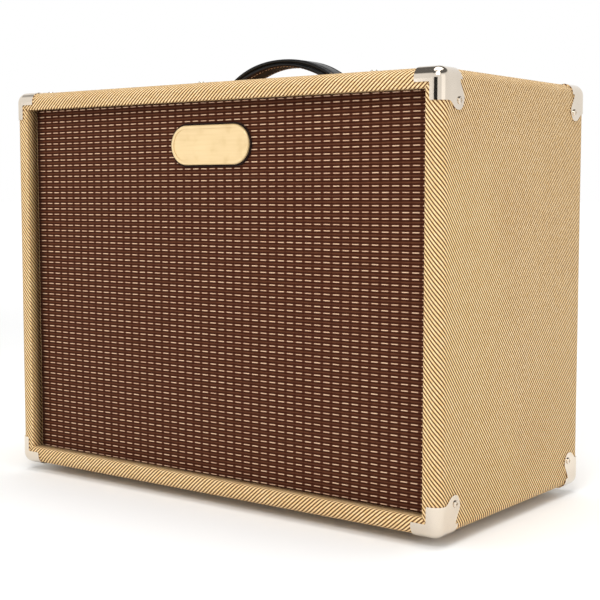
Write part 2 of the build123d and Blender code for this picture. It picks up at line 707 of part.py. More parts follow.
# ---------------------------------------------------------------- chassis and control panel
def valve_holes():
    """Holes in the chassis floor for the valve sockets."""
    sockets = [(x, OCTAL_R) for x in POWER_VALVE_X] + [(x, NOVAL_R) for x in PREAMP_VALVE_X]
    return [cylinder_up(radius + HOLE_GAP, CHASSIS_BOTTOM - 2, CHASSIS_BOTTOM + 5, x, CONTROL_Y)
            for x, radius in sockets]


def rear_plate_holes():
    """Holes in the chassis rear plate for jack, fuse and inlet."""
    wall = (CHASSIS_Y[1] - 4, CHASSIS_Y[1] + 1)
    jack = cylinder_back(JACK_BUSHING_R + HOLE_GAP, wall[0], wall[1], SPEAKER_JACK_X, APRON_Z)
    fuse = cylinder_back(FUSE_BODY_R + 2 * HOLE_GAP, wall[0], wall[1], FUSE_X, APRON_Z)
    inlet = block_on_rear(INLET_X, wall, INLET_BODY[0] + HOLE_GAP, INLET_BODY[1] + HOLE_GAP)
    screws = [cylinder_back(INLET_SCREW_R + 2 * HOLE_GAP, wall[0], wall[1], INLET_X + dx, APRON_Z)
              for dx in (-INLET_SCREW_X, INLET_SCREW_X)]
    return [jack, fuse, inlet] + screws


def chassis_tray():
    """Folded steel tray, open at the top and rear, with a front lip that bolts up under the panel."""
    t = SHEET_T
    top = PANEL_BOTTOM - BOND_GAP
    rear = CHASSIS_Y[1] - t - BOND_GAP
    inner_x = (-CHASSIS_X + t, CHASSIS_X - t)
    tray = box_between((-CHASSIS_X, CHASSIS_X), (CHASSIS_Y[0], rear), (CHASSIS_BOTTOM, top))
    tray = tray - box_between(inner_x, (CHASSIS_Y[0] + t, rear + 1), (CHASSIS_BOTTOM + t, top - t))
    tray = tray - box_between(inner_x, (CHASSIS_Y[0] + CHASSIS_LIP, rear + 1), (CHASSIS_BOTTOM + t, top + 1))
    return cut_all(tray, valve_holes() + [chassis_bolt_hole(x, y) for x, y in chassis_bolt_places()])


def chassis_rear_plate():
    """Steel plate that closes the tray at the rear, bent forward under the panel and over the floor."""
    t = SHEET_T
    top = PANEL_BOTTOM - BOND_GAP
    rear = CHASSIS_Y[1]
    floor = CHASSIS_BOTTOM + t + BOND_GAP
    inner_x = (-CHASSIS_X + t + BOND_GAP, CHASSIS_X - t - BOND_GAP)
    plate = box_between((-CHASSIS_X, CHASSIS_X), (rear - t, rear), (CHASSIS_BOTTOM, top))
    upper_lip = box_between(inner_x, (rear - CHASSIS_LIP, rear), (top - t, top))
    lower_lip = box_between(inner_x, (rear - CHASSIS_LIP, rear), (floor, floor + t))
    bolts = [chassis_bolt_hole(x, y) for x, y in chassis_bolt_places()]
    return cut_all(plate + upper_lip + lower_lip, rear_plate_holes() + bolts)


def control_panel():
    """Plated panel on top of the chassis, with a hole for every control."""
    panel = box_between((-CHASSIS_X, CHASSIS_X), CHASSIS_Y, (PANEL_BOTTOM, PANEL_TOP))
    holes = [(x, POT_BUSHING_R + HOLE_GAP) for x in KNOB_X.values()]
    holes += [(x, 6.0) for x in TOGGLE_X.values()]
    holes += [(x, JACK_BUSHING_R + HOLE_GAP) for x in JACK_X]
    holes.append((PILOT_X, 7.6))
    for x, radius in holes:
        panel = panel - cylinder_up(radius, PANEL_BOTTOM - 1, PANEL_TOP + 1, x, CONTROL_Y)
    return cut_all(panel, [chassis_bolt_hole(x, y) for x, y in chassis_bolt_places()])


def circuit_board():
    """Fibre eyelet board on four pillars above the chassis floor."""
    bottom = CHASSIS_BOTTOM + CIRCUIT_LIFT
    board = box_between(CIRCUIT_X, CIRCUIT_Y, (bottom, bottom + CIRCUIT_T))
    pillars = [cylinder_up(PILLAR_R, CHASSIS_BOTTOM + SHEET_T + BOND_GAP, bottom, x, y)
               for x in PILLAR_X for y in PILLAR_Y]
    for pillar in pillars:
        board = board + pillar
    return board


def filter_capacitors():
    """Four electrolytic capacitors lying on the board."""
    z = CHASSIS_BOTTOM + CIRCUIT_LIFT + CIRCUIT_T + CAPACITOR_R + 0.1
    cans = []
    for x in CAPACITOR_X:
        can = Pos(x, CAPACITOR_Y, z) * Rot(0, 90, 0) * Cylinder(CAPACITOR_R, CAPACITOR_LENGTH)
        can = chamfer(can.edges().filter_by(GeomType.CIRCLE), 1.2)
        leads = cylinder_across(0.5, x - 23, x + 23, CAPACITOR_Y, z)
        cans.append(can + leads)
    return Compound(children=cans)


def transformer(x, core, bell):
    """A laminated core between two pressed bell covers, bolted up under the chassis."""
    top = CHASSIS_BOTTOM - BOND_GAP
    width, depth, height = core
    bell_w, bell_d, bell_h = bell
    y = CONTROL_Y
    block = box_between((x - width / 2, x + width / 2), (y - depth / 2, y + depth / 2), (top - height, top))
    block = chamfer(block.edges().filter_by(Axis.Y), 1.5)
    solids = [block]
    mid = top - height / 2
    for sign in (-1, 1):
        inner = y + sign * (depth / 2 + BOND_GAP)
        outer = inner + sign * bell_d
        cover = box_between((x - bell_w / 2, x + bell_w / 2), sorted((inner, outer)),
                            (mid - bell_h / 2, mid + bell_h / 2))
        cover = fillet(cover.edges().filter_by(Axis.Y), 9.0)
        face = cover.faces().sort_by(Axis.Y)[-1 if sign > 0 else 0]
        solids.append(fillet(face.edges(), 7.0))
    return Compound(children=solids)


def valve_socket(x, radius):
    """A socket through the chassis floor, its flange under it."""
    low = CHASSIS_BOTTOM - BOND_GAP - SOCKET_FLANGE_T
    flange = cylinder_up(radius + 3.0, low, CHASSIS_BOTTOM - BOND_GAP, x, CONTROL_Y)
    return flange + cylinder_up(radius, low, CHASSIS_BOTTOM + 8, x, CONTROL_Y)


def valve_bulb(x, top, radius, length, wall):
    """A hanging glass bulb with a domed end, open at the top where it meets its base or socket."""
    outer = [(radius, 0), (radius, -length + radius)]
    shoulder = JernArc(outer[-1], (0, -1), radius, -90)
    inner_r = radius - wall
    inner = JernArc((inner_r, -length + radius), (0, -1), inner_r, -90)
    edges = [Line((inner_r, 0), (radius, 0)), Line(outer[0], outer[1]), shoulder,
             Line(shoulder @ 1, inner @ 1), inner, Line((inner_r, -length + radius), (inner_r, 0))]
    bulb = revolve(make_face(Plane.XZ * (Curve() + edges)), Axis.Z)
    return place(bulb, x, CONTROL_Y, top)


def power_valve_base(x):
    top = CHASSIS_BOTTOM - SOCKET_FLANGE_T - 2 * BOND_GAP
    base = cylinder_up(VALVE_BASE_R, top - VALVE_BASE_H, top, x, CONTROL_Y)
    return chamfer(base.faces().sort_by(Axis.Z)[0].edges(), 1.0)


def power_valves():
    top = CHASSIS_BOTTOM - SOCKET_FLANGE_T - VALVE_BASE_H - 3 * BOND_GAP
    return Compound(children=[valve_bulb(x, top, *POWER_BULB) for x in POWER_VALVE_X])


def preamp_valves():
    top = CHASSIS_BOTTOM - SOCKET_FLANGE_T - 2 * BOND_GAP
    return Compound(children=[valve_bulb(x, top, *PREAMP_BULB) for x in PREAMP_VALVE_X])


# ---------------------------------------------------------------- controls
def potentiometer(x):
    """Potentiometer can, threaded bushing and nut, bored for its shaft."""
    can = cylinder_up(POT_R, PANEL_BOTTOM - 12, PANEL_BOTTOM - 2.5, x, CONTROL_Y)
    neck = cylinder_up(POT_BUSHING_R + 3, PANEL_BOTTOM - 3, PANEL_BOTTOM - BOND_GAP, x, CONTROL_Y)
    bushing = cylinder_up(POT_BUSHING_R, PANEL_BOTTOM - 3, PANEL_TOP + 2.9, x, CONTROL_Y)
    nut = hexagon_up(12.7, PANEL_TOP + BOND_GAP, PANEL_TOP + 2.3, x, CONTROL_Y)
    lugs = [box_between((x + dx - 1, x + dx + 1), (CONTROL_Y + POT_R - 1, CONTROL_Y + POT_R + 7),
                        (PANEL_BOTTOM - 8, PANEL_BOTTOM - 7)) for dx in (-5, 0, 5)]
    body = can + neck + bushing + nut + lugs
    return body - cylinder_up(SHAFT_R + SHAFT_CLEARANCE, PANEL_BOTTOM - 9, PANEL_TOP + 10, x, CONTROL_Y)


def pot_shaft(x):
    """The turning shaft, chamfered at its top, inside the knob."""
    shaft = cylinder_up(SHAFT_R, PANEL_BOTTOM - 8.5, PANEL_TOP + KNOB_BASE_GAP + 10, x, CONTROL_Y)
    return chamfer(shaft.faces().sort_by(Axis.Z)[-1].edges(), 0.5)


def pointer_knob(x):
    """A pointer knob: a low round skirt under a tapered fin whose nose points to the rear."""
    low = PANEL_TOP + KNOB_BASE_GAP
    skirt = Cylinder(12.0, 4.0, align=(Align.CENTER, Align.CENTER, Align.MIN))
    skirt = chamfer(skirt.faces().sort_by(Axis.Z)[-1].edges(), 0.8)
    outline = make_face(Polyline((-5.0, -11.5), (5.0, -11.5), (5.6, 0.0), (1.4, 18.0), (-1.4, 18.0),
                                 (-5.6, 0.0), close=True))
    fin = extrude(outline, KNOB_H, taper=5)
    fin = fin - Pos(0, 18.0, KNOB_H) * Rot(-28, 0, 0) * Box(20, 30, 8)
    knob = place(skirt + fin, x, CONTROL_Y, low)
    return knob - cylinder_up(SHAFT_R + 0.02, low - 1, low + 10.1, x, CONTROL_Y)


def toggle_body(x):
    """Toggle switch body, bushing and nut, bored for the lever, with holes for its pivot pin."""
    case_z = (PANEL_BOTTOM - 14, PANEL_BOTTOM - BOND_GAP)
    case = box_between((x - 7, x + 7), (CONTROL_Y - 9, CONTROL_Y + 9), case_z)
    bushing = cylinder_up(5.9, PANEL_BOTTOM - 1, PANEL_TOP + 6.0, x, CONTROL_Y)
    nut = hexagon_up(15.0, PANEL_TOP + BOND_GAP, PANEL_TOP + 2.5, x, CONTROL_Y)
    body = case + bushing + nut
    body = body - cylinder_up(TOGGLE_BORE_R, PANEL_BOTTOM - 8, PANEL_TOP + 8, x, CONTROL_Y)
    return body - cylinder_across(0.85, x - 5.5, x + 5.5, CONTROL_Y, TOGGLE_PIVOT_Z)


def toggle_lever(x):
    """A bat-shaped lever on a cross pin, tilted to the rear, which is off."""
    stem = Cone(1.3, 2.5, 14.0, align=(Align.CENTER, Align.CENTER, Align.MIN))
    tip = place(Sphere(2.5), z=14.0)
    tail = place(Cylinder(1.2, 5.0), z=-2.5)
    ball = Sphere(2.8)
    lever = stem + tip + tail + ball
    lever = Rot(-TOGGLE_TILT, 0, 0) * lever
    lever = lever + cylinder_across(0.78, -5.4, 5.4)
    return place(lever, x, CONTROL_Y, TOGGLE_PIVOT_Z)


def jack_socket():
    """A quarter-inch jack socket, drawn mouth up with its panel at height zero."""
    body = box_between((-10, 10), (-10, 10), (-PANEL_T - 25, -PANEL_T - BOND_GAP))
    body = chamfer(body.edges().filter_by(Axis.Z), 1.5)
    bushing = cylinder_up(JACK_BUSHING_R, -PANEL_T - 1, JACK_PROUD)
    nut = hexagon_up(12.7, BOND_GAP, 2.4)
    socket = body + bushing + nut
    return socket - cylinder_up(JACK_BORE_R, JACK_PROUD - JACK_DEPTH, JACK_PROUD + 1)


def jack_sockets():
    """Two input jacks through the panel and the speaker jack through the rear plate."""
    jacks = [place(jack_socket(), x, CONTROL_Y, PANEL_TOP) for x in JACK_X]
    jacks.append(Pos(SPEAKER_JACK_X, CHASSIS_Y[1], APRON_Z) * Rot(-90, 0, 0) * jack_socket())
    return Compound(children=jacks)


def pilot_bezel():
    """Bezel ring and lamp tube, one turned piece."""
    ring = revolve_up([(5.8, -16), (7.4, -16), (7.4, BOND_GAP), (10.0, BOND_GAP), (10.0, 1.6), (8.6, 3.2),
                       (7.2, 3.2), (7.2, 1.0), (5.8, 1.0)])
    return place(ring, PILOT_X, CONTROL_Y, PANEL_TOP)


def pilot_jewel():
    """A faceted jewel in the bezel."""
    lower = extrude(RegularPolygon(7.0, 8), 3.0)
    crown = Pos(0, 0, 3.0) * extrude(RegularPolygon(7.0, 8), 5.0, taper=28)
    return place(lower + crown, PILOT_X, CONTROL_Y, PANEL_TOP + 1.05)


def fuse_holder():
    """Fuse holder through the rear wall of the chassis."""
    wall = CHASSIS_Y[1]
    body = cylinder_back(FUSE_BODY_R, wall - 36, wall + 0.5, FUSE_X, APRON_Z)
    flange = cylinder_back(9.0, wall + BOND_GAP, wall + 2.5, FUSE_X, APRON_Z)
    lug = box_between((FUSE_X - 2, FUSE_X + 2), (wall - 42, wall - 35), (APRON_Z - 0.5, APRON_Z + 0.5))
    bore = cylinder_back(FUSE_STEM_R + FUSE_CLEARANCE, wall - 30, wall + 3, FUSE_X, APRON_Z)
    return body + flange + lug - bore


def fuse_cap():
    """Bayonet cap with a coin slot and a stem inside the holder."""
    wall = CHASSIS_Y[1]
    cap = cylinder_back(7.5, wall + 2.9, wall + 9.0, FUSE_X, APRON_Z)
    grips = []
    for index in range(12):
        angle = math.radians(index * 30)
        grips.append(cylinder_back(0.9, wall + 2.5, wall + 9.5, FUSE_X + 7.7 * math.cos(angle),
                                   APRON_Z + 7.7 * math.sin(angle)))
    cap = cut_all(cap, grips)
    slot = box_between((FUSE_X - 5, FUSE_X + 5), (wall + 7.8, wall + 10), (APRON_Z - 0.8, APRON_Z + 0.8))
    return cap - slot + cylinder_back(FUSE_STEM_R, wall - 28, wall + 3, FUSE_X, APRON_Z)


def block_on_rear(x, y_range, half_w, half_h):
    """A box round the chassis rear wall's middle height, centred on x."""
    return box_between((x - half_w, x + half_w), y_range, (APRON_Z - half_h, APRON_Z + half_h))


def mains_inlet():
    """Three-pin appliance inlet: flanged body, three blades and two fixing screws."""
    wall = CHASSIS_Y[1]
    screw_x = (INLET_X - INLET_SCREW_X, INLET_X + INLET_SCREW_X)
    flange = block_on_rear(INLET_X, (wall + BOND_GAP, wall + INLET_FLANGE_T), 25.0, 12.0)
    flange = fillet(flange.edges().filter_by(Axis.Y), 6.0)
    body = block_on_rear(INLET_X, (wall - 20, wall + 1), INLET_BODY[0], INLET_BODY[1])
    cavity = block_on_rear(INLET_X, (wall - 15, wall + 4), INLET_CAVITY[0], INLET_CAVITY[1])
    upper_edges = cavity.edges().filter_by(Axis.Y).sort_by(Axis.Z)[-2:]
    cavity = chamfer(upper_edges, 4.0)
    housing = flange + body - cavity
    blades = []
    for dx, dz in ((-7, -2), (7, -2), (0, 2)):
        blades.append(box_between((INLET_X + dx - 1, INLET_X + dx + 1), (wall - 14.95, wall - 2.5),
                                  (APRON_Z + dz - 2, APRON_Z + dz + 2)))
    head_y = wall + INLET_FLANGE_T + BOND_GAP
    screws = [screw_at("+Y", *INLET_HEAD, INLET_SCREW_R, 8.0, x, head_y, APRON_Z) for x in screw_x]
    hole_r = INLET_SCREW_R + HOLE_GAP
    housing = cut_all(housing, [cylinder_back(hole_r, wall - 6, wall + 4, x, APRON_Z) for x in screw_x])
    return Compound(children=[housing] + blades + screws)


def cabinet_parts():
    parts = boards()
    parts["tweed_cover"] = tweed_cover()
    parts["cabinet_cleats"] = cabinet_cleats()
    parts["baffle_board"] = baffle_board()
    parts["grille_cloth"] = grille_cloth()
    parts["upper_rear_panel"] = rear_panel(UPPER_PANEL_Z)
    parts["lower_rear_panel"] = rear_panel(LOWER_PANEL_Z)
    parts["rear_panel_screws"] = Compound(children=rear_screws(REAR_SCREW_R))
    parts["badge_plate"] = badge_plate()
    parts["badge_backing"] = badge_backing()
    parts["corner_protectors"] = corner_protectors()
    parts["corner_screws"] = Compound(children=corner_screws(CORNER_SCREW_R))
    parts["handle_strap"] = handle_strap()
    parts["handle_end_caps"] = handle_end_caps()
    parts["handle_screws"] = Compound(children=handle_screws(HANDLE_SCREW_R))
    parts["rubber_feet"] = Compound(children=[rubber_foot(x, y) for x, y in foot_places()])
    parts["foot_screws"] = Compound(children=foot_screws(FOOT_SCREW_R))
    return parts


def speaker_parts():
    return {
        "speaker_basket": speaker_basket(),
        "speaker_gasket": speaker_gasket(),
        "cone_surround": speaker_place(corrugated_ring(CONE_RIM_R + BOND_GAP, SURROUND_OUTER_R, 2, 1.6,
                                                       GASKET_T - BOND_GAP, 3.0)),
        "speaker_cone": speaker_cone(),
        "dust_cap": dust_cap(),
        "voice_coil": voice_coil(),
        "spider": speaker_place(corrugated_ring(*SPIDER_R, 5, 2.0, SPIDER_DEPTH, 3.0)),
        "front_plate": front_plate(),
        "magnet_ring": magnet_ring(),
        "yoke": yoke(),
        "terminal_strip": terminal_strip(),
        "speaker_bolts": Compound(children=[speaker_bolt(x, z) for x, z in speaker_bolt_places()]),
    }


def amplifier_parts():
    sockets = [valve_socket(x, OCTAL_R) for x in POWER_VALVE_X]
    sockets += [valve_socket(x, NOVAL_R) for x in PREAMP_VALVE_X]
    parts = {
        "chassis_tray": chassis_tray(),
        "chassis_rear_plate": chassis_rear_plate(),
        "control_panel": control_panel(),
        "chassis_bolts": Compound(children=chassis_bolts(CHASSIS_BOLT_R)),
        "circuit_board": circuit_board(),
        "filter_capacitors": filter_capacitors(),
        "power_transformer": transformer(POWER_TRANSFORMER_X, POWER_CORE, POWER_BELL),
        "output_transformer": transformer(OUTPUT_TRANSFORMER_X, OUTPUT_CORE, OUTPUT_BELL),
        "valve_sockets": Compound(children=sockets),
        "power_valve_bases": Compound(children=[power_valve_base(x) for x in POWER_VALVE_X]),
        "power_valves": power_valves(),
        "preamp_valves": preamp_valves(),
        "potentiometers": Compound(children=[potentiometer(x) for x in KNOB_X.values()]),
        "toggle_bodies": Compound(children=[toggle_body(x) for x in TOGGLE_X.values()]),
        "pilot_bezel": pilot_bezel(),
        "pilot_jewel": pilot_jewel(),
        "fuse_holder": fuse_holder(),
        "fuse_cap": fuse_cap(),
        "mains_inlet": mains_inlet(),
        "jack_sockets": jack_sockets(),
    }
    for name, x in KNOB_X.items():
        parts[name + "_knob"] = pointer_knob(x)
        parts[name + "_shaft"] = pot_shaft(x)
    for name, x in TOGGLE_X.items():
        parts[name + "_toggle"] = toggle_lever(x)
    return parts


def main():
    os.makedirs("parts", exist_ok=True)
    parts = cabinet_parts() | speaker_parts() | amplifier_parts()
    for name, part in parts.items():
        export_step(part, f"parts/{name}.step")
    print(len(parts), "parts written")


main()
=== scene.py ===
"""Looks of a tweed-covered valve combo guitar amplifier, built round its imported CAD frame. Metres."""

import json
import math

import bmesh
import bpy
import numpy as np
from mathutils import Matrix, Vector


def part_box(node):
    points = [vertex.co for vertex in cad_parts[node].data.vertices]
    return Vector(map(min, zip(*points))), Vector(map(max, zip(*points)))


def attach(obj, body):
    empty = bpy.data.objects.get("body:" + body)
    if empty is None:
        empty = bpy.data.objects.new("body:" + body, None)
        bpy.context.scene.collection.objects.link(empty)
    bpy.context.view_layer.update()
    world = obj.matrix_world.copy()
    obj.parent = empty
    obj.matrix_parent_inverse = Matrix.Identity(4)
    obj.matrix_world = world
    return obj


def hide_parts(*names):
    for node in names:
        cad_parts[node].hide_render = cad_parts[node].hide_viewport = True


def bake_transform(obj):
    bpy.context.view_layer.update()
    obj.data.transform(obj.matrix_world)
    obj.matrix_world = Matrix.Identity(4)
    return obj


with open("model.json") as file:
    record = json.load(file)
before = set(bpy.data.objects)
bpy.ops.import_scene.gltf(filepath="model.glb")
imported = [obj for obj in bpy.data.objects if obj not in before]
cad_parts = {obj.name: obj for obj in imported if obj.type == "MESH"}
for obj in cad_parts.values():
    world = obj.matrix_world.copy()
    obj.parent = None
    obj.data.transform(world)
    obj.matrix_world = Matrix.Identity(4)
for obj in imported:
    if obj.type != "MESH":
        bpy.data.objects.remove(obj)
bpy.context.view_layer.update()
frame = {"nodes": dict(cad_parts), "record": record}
NODES = frame["nodes"]
MM = 0.001

# ---------------------------------------------------------------- sizes, from the frame where it has them
COVER_LOW, COVER_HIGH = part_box("tweed_cover")
GRILLE_LOW, GRILLE_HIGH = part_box("grille_cloth")
HALF_W = COVER_HIGH.x
HALF_H = (COVER_HIGH.z - COVER_LOW.z) / 2
MID_Z = (COVER_HIGH.z + COVER_LOW.z) / 2
FRONT_Y = COVER_LOW.y
REAR_Y = COVER_HIGH.y
TOP_Z = COVER_HIGH.z
EDGE_R = 10 * MM
CLOTH_T = 0.7 * MM
MOUTH_INSET = 18.5 * MM            # visible side of the lip lining, in from the outside
MOUTH_R = 2 * MM                   # roundness of the lip's inner edge
REAR_INSET = 17.6 * MM
LIP_DEPTH = 14.5 * MM
CORNER_STEPS = 8

PANEL_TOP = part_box("control_panel")[1].z
WINDOW_HALF_X = 209.25 * MM        # the control recess inside its lining
WINDOW_Y = (40.75 * MM, 117.25 * MM)
WINDOW_R = 7.25 * MM
CONTROL_Y = (WINDOW_Y[0] + WINDOW_Y[1]) / 2
CONTROL_TURN = 150                 # degrees that a knob turns to either side
TICK_R = (13.6 * MM, 16.2 * MM)
TICK_WIDTH = 0.5 * MM
NUMERAL_R = 20.2 * MM
NUMERAL_SIZE = 4.6 * MM
SWITCH_MARK_R = (12.0 * MM, 16.0 * MM)
SWITCH_MARK_WIDTH = 0.7 * MM
INK_T = 0.04 * MM
POINTER_Y = (-7 * MM, 1.5 * MM)    # ends of a knob's line, from its axis
POINTER_WIDTH = 1.0 * MM

TWEED_ALONG = 4.5727 * MM          # twill period round the cabinet, which takes 424 of them
TWEED_ACROSS = 3.9 * MM            # twill period from the grille outwards and back
TWILL_YARNS = 4                    # yarns in one twill period
TWILL_STEPPED = 0.45               # share of the diagonal that rises in steps from yarn to yarn
GRILLE_ROW = 6.03 * MM
GRILLE_DASH = 11.035 * MM
GRILLE_START = (1.0 * MM, 11.45 * MM)      # X and Z of the middle of one dash
GRILLE_SKEW = 0.002                # how far the rows rise along the cloth
GRILLE_WEFT = 1.1 * MM
GRILLE_T = 0.3 * MM
GRILLE_RELIEF = 0.3 * MM

STRAP_STATIONS = 56
STRAP_SECTION = (                  # share of the half width, share of the thickness
    (0.00, 1.00), (0.34, 1.00), (0.62, 0.985), (0.665, 0.88), (0.71, 0.985), (0.82, 1.00),
    (0.95, 0.98), (1.00, 0.88), (1.00, 0.66), (0.95, 0.57), (0.86, 0.53), (0.86, 0.46),
    (0.95, 0.42), (1.00, 0.34), (0.99, 0.14), (0.93, 0.0), (0.76, 0.0), (0.72, 0.07),
    (0.68, 0.0), (0.34, 0.0), (0.0, 0.0))
UNDERSIDE_START = 14               # point of STRAP_SECTION where the brown leather starts
TOP_CHANNEL = 0.665                # share of the half width where the stitches lie
UNDER_CHANNEL = 0.72
STITCH_SUNK = 0.14                 # share of the thickness
STITCH_PITCH = 4.2 * MM
STITCH_LENGTH = 0.68 * STITCH_PITCH
STITCH_R = 0.42 * MM

BAFFLE_BACK_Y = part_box("baffle_board")[1].y
RIM_SECTORS = 12
RIM_LAND = 3 * MM                  # flat edge of the surround and the spider, as in the CAD
RIM_T = 0.8 * MM
SURROUND_R = (121.05 * MM, 137.8 * MM)
SURROUND_WAVE = 1.6 * MM
SURROUND_DEPTH = 2.95 * MM         # behind the baffle
SPIDER_R = (26.0 * MM, 74.0 * MM)
SPIDER_WAVE = 2.0 * MM
SPIDER_DEPTH = 57.9 * MM

POWER_PLATE = (9.0 * MM, 5.5 * MM)         # half length of a valve's plate, and radius of its ends
PREAMP_PLATE = (5.4 * MM, 3.4 * MM)
BULB_T = 1.35 * MM                 # from a bulb's outside to its getter
MICA_T = 0.4 * MM
ROD_R = 0.5 * MM

WALLS_UP_TO = 0.58                 # sine of the height where the bright walls end
CEILING_FROM = 0.7                 # and where the dim ceiling begins
CEILING_LIGHT = 0.15
FLOOR_RADII = (0, 2, 8, 30)
FLAG_R = 2.6
FLAG_Z = (0.02, 1.2)
FLAG_ANGLES = np.radians([-9.0, -1.0, 7.0, 15.0, 23.0])    # from straight in front to the right
EYE = (0.85552, -1.10177, 0.32251)
EYE_TURN_DEG = (85.022, 0.0, 37.336)
LENS_MM = 76.39


# ---------------------------------------------------------------- materials
def colour(red, green, blue):
    """A display colour, 0 to 255, as the linear colour that a shader takes."""
    linear = []
    for value in (red, green, blue):
        share = value / 255
        linear.append(share / 12.92 if share <= 0.04045 else ((share + 0.055) / 1.055) ** 2.4)
    return (*linear, 1.0)


class Paint:
    """A new material, with short calls that add nodes to it."""

    def __init__(self, name, **uniform):
        self.material = bpy.data.materials.new(name)
        self.material.use_nodes = True
        self.tree = self.material.node_tree
        self.shader = self.tree.nodes["Principled BSDF"]
        for key, value in uniform.items():
            self.shader.inputs[key.replace("_", " ")].default_value = value

    def add(self, kind, inputs=None, **settings):
        """A new node; inputs holds what each of its sockets gets."""
        node = self.tree.nodes.new("ShaderNode" + kind)
        for key, value in settings.items():
            setattr(node, key, value)
        for key, value in (inputs or {}).items():
            self.feed(node.inputs[key], value)
        return node

    def feed(self, socket, value):
        """Link another node's output to a socket, or set the socket's own value."""
        if isinstance(value, bpy.types.NodeSocket):
            self.tree.links.new(value, socket)
        else:
            socket.default_value = value

    def set(self, name, value):
        """Feed one of the shader's inputs."""
        self.feed(self.shader.inputs[name], value)

    def math(self, operation, first, second=0.0, third=0.0):
        """The result of a sum on sockets or numbers."""
        values = {0: first, 1: second, 2: third}
        return self.add("Math", values, operation=operation).outputs[0]

    def mix(self, factor, first, second, blend="MIX"):
        """One colour turned into another by a factor."""
        values = {0: factor, 6: first, 7: second}
        return self.add("Mix", values, data_type="RGBA", blend_type=blend).outputs[2]

    def ease(self, value, low, high, to_low=0.0, to_high=1.0):
        """A smooth step from to_low to to_high as value goes from low to high."""
        ranges = {0: value, 1: low, 2: high, 3: to_low, 4: to_high}
        return self.add("MapRange", ranges, interpolation_type="SMOOTHSTEP").outputs[0]

    def place(self):
        """The point's place in the object's own frame."""
        return self.add("TexCoord").outputs["Object"]

    def split(self, vector):
        """The three parts of a vector."""
        return self.add("SeparateXYZ", {0: vector}).outputs

    def noise(self, scale, detail=3.0, stretch=(1, 1, 1), rough=0.5):
        """Cloudy noise, drawn out along an axis whose stretch is small."""
        mapped = self.add("Mapping", {"Vector": self.place(), "Scale": stretch}).outputs[0]
        inputs = {"Vector": mapped, "Scale": scale, "Detail": detail, "Roughness": rough}
        return self.add("TexNoise", inputs).outputs[0]

    def chance(self, first, second):
        """A random value that stays the same within one cell of a pattern."""
        cell = self.add("CombineXYZ", {0: first, 1: second}).outputs[0]
        return self.add("TexWhiteNoise", {"Vector": cell}, noise_dimensions="2D").outputs[0]

    def wave(self, value, period):
        """A sine between -1 and 1 that repeats with a period."""
        return self.math("SINE", self.math("MULTIPLY", value, 2 * math.pi / period))

    def distance(self, first, second):
        """Length of a vector with two parts."""
        squares = [self.math("POWER", value, 2.0) for value in (first, second)]
        return self.math("SQRT", self.math("ADD", *squares))

    def bump(self, height, distance, strength=1.0):
        """Relief that the mesh doesn't have."""
        inputs = {"Height": height, "Distance": distance, "Strength": strength}
        self.set("Normal", self.add("Bump", inputs).outputs[0])


def twill(paint, across, along):
    """Tweed, as shares: cream float over brown yarn, crown of each yarn, and chance of each float."""
    yarn = paint.math("MULTIPLY", across, TWILL_YARNS / TWEED_ACROSS)
    column = paint.math("FLOOR", yarn)
    yarn_share = paint.math("FRACT", yarn)
    rise = paint.math("MULTIPLY", yarn, (1 - TWILL_STEPPED) / TWILL_YARNS)
    rise = paint.math("MULTIPLY_ADD", column, TWILL_STEPPED / TWILL_YARNS, rise)
    diagonal = paint.math("MULTIPLY_ADD", along, 1 / TWEED_ALONG, rise)
    row = paint.math("FLOOR", diagonal)
    share = paint.math("FRACT", diagonal)
    cream = paint.math("MULTIPLY", paint.ease(share, 0.0, 0.2), paint.ease(share, 0.52, 0.74, 1.0, 0.0))
    crown = paint.math("SINE", paint.math("MULTIPLY", yarn_share, math.pi))
    return cream, crown, paint.chance(column, row)


def tweed(name, across_along):
    """Lacquered tweed, with the two cloth coordinates that across_along gives for a Paint."""
    paint = Paint(name, Roughness=0.7, Specular_IOR_Level=0.15, Coat_Weight=0.03, Coat_Roughness=0.4)
    across, along = across_along(paint)
    cream, crown, chance = twill(paint, across, along)
    light = paint.mix(chance, colour(242, 209, 152), colour(252, 225, 177))
    # Painted shade: the cream yarn turns brown where its crown falls away, and the brown yarn is darker at
    # its edges than on its crown, so each round yarn is shaded in its colour.
    light = paint.mix(paint.ease(crown, 0.0, 0.75, 0.45, 0.0), light, colour(192, 141, 72))
    dark = paint.mix(crown, colour(72, 38, 5), colour(110, 64, 16))
    woven = paint.mix(cream, dark, light)
    age = paint.noise(9.0, 4.0)
    woven = paint.mix(paint.ease(age, 0.35, 0.75, 0.0, 0.1), woven, colour(196, 150, 90), "MULTIPLY")
    paint.set("Base Color", woven)
    float_height = paint.math("MULTIPLY_ADD", crown, 0.5, 0.5)
    height = paint.math("MULTIPLY_ADD", cream, float_height, paint.math("MULTIPLY", crown, 0.2))
    paint.bump(height, 0.35 * MM, 0.4)
    return paint.material


def wrapped_cloth(paint):
    """Cloth coordinates kept in the covering's own map."""
    across, along, _ = paint.split(paint.add("UVMap", uv_map="weave").outputs[0])
    return across, along


def flat_cloth(paint):
    """Cloth coordinates of a flat panel, by its place."""
    x, y, z = paint.split(paint.place())
    return paint.math("ADD", y, z), x


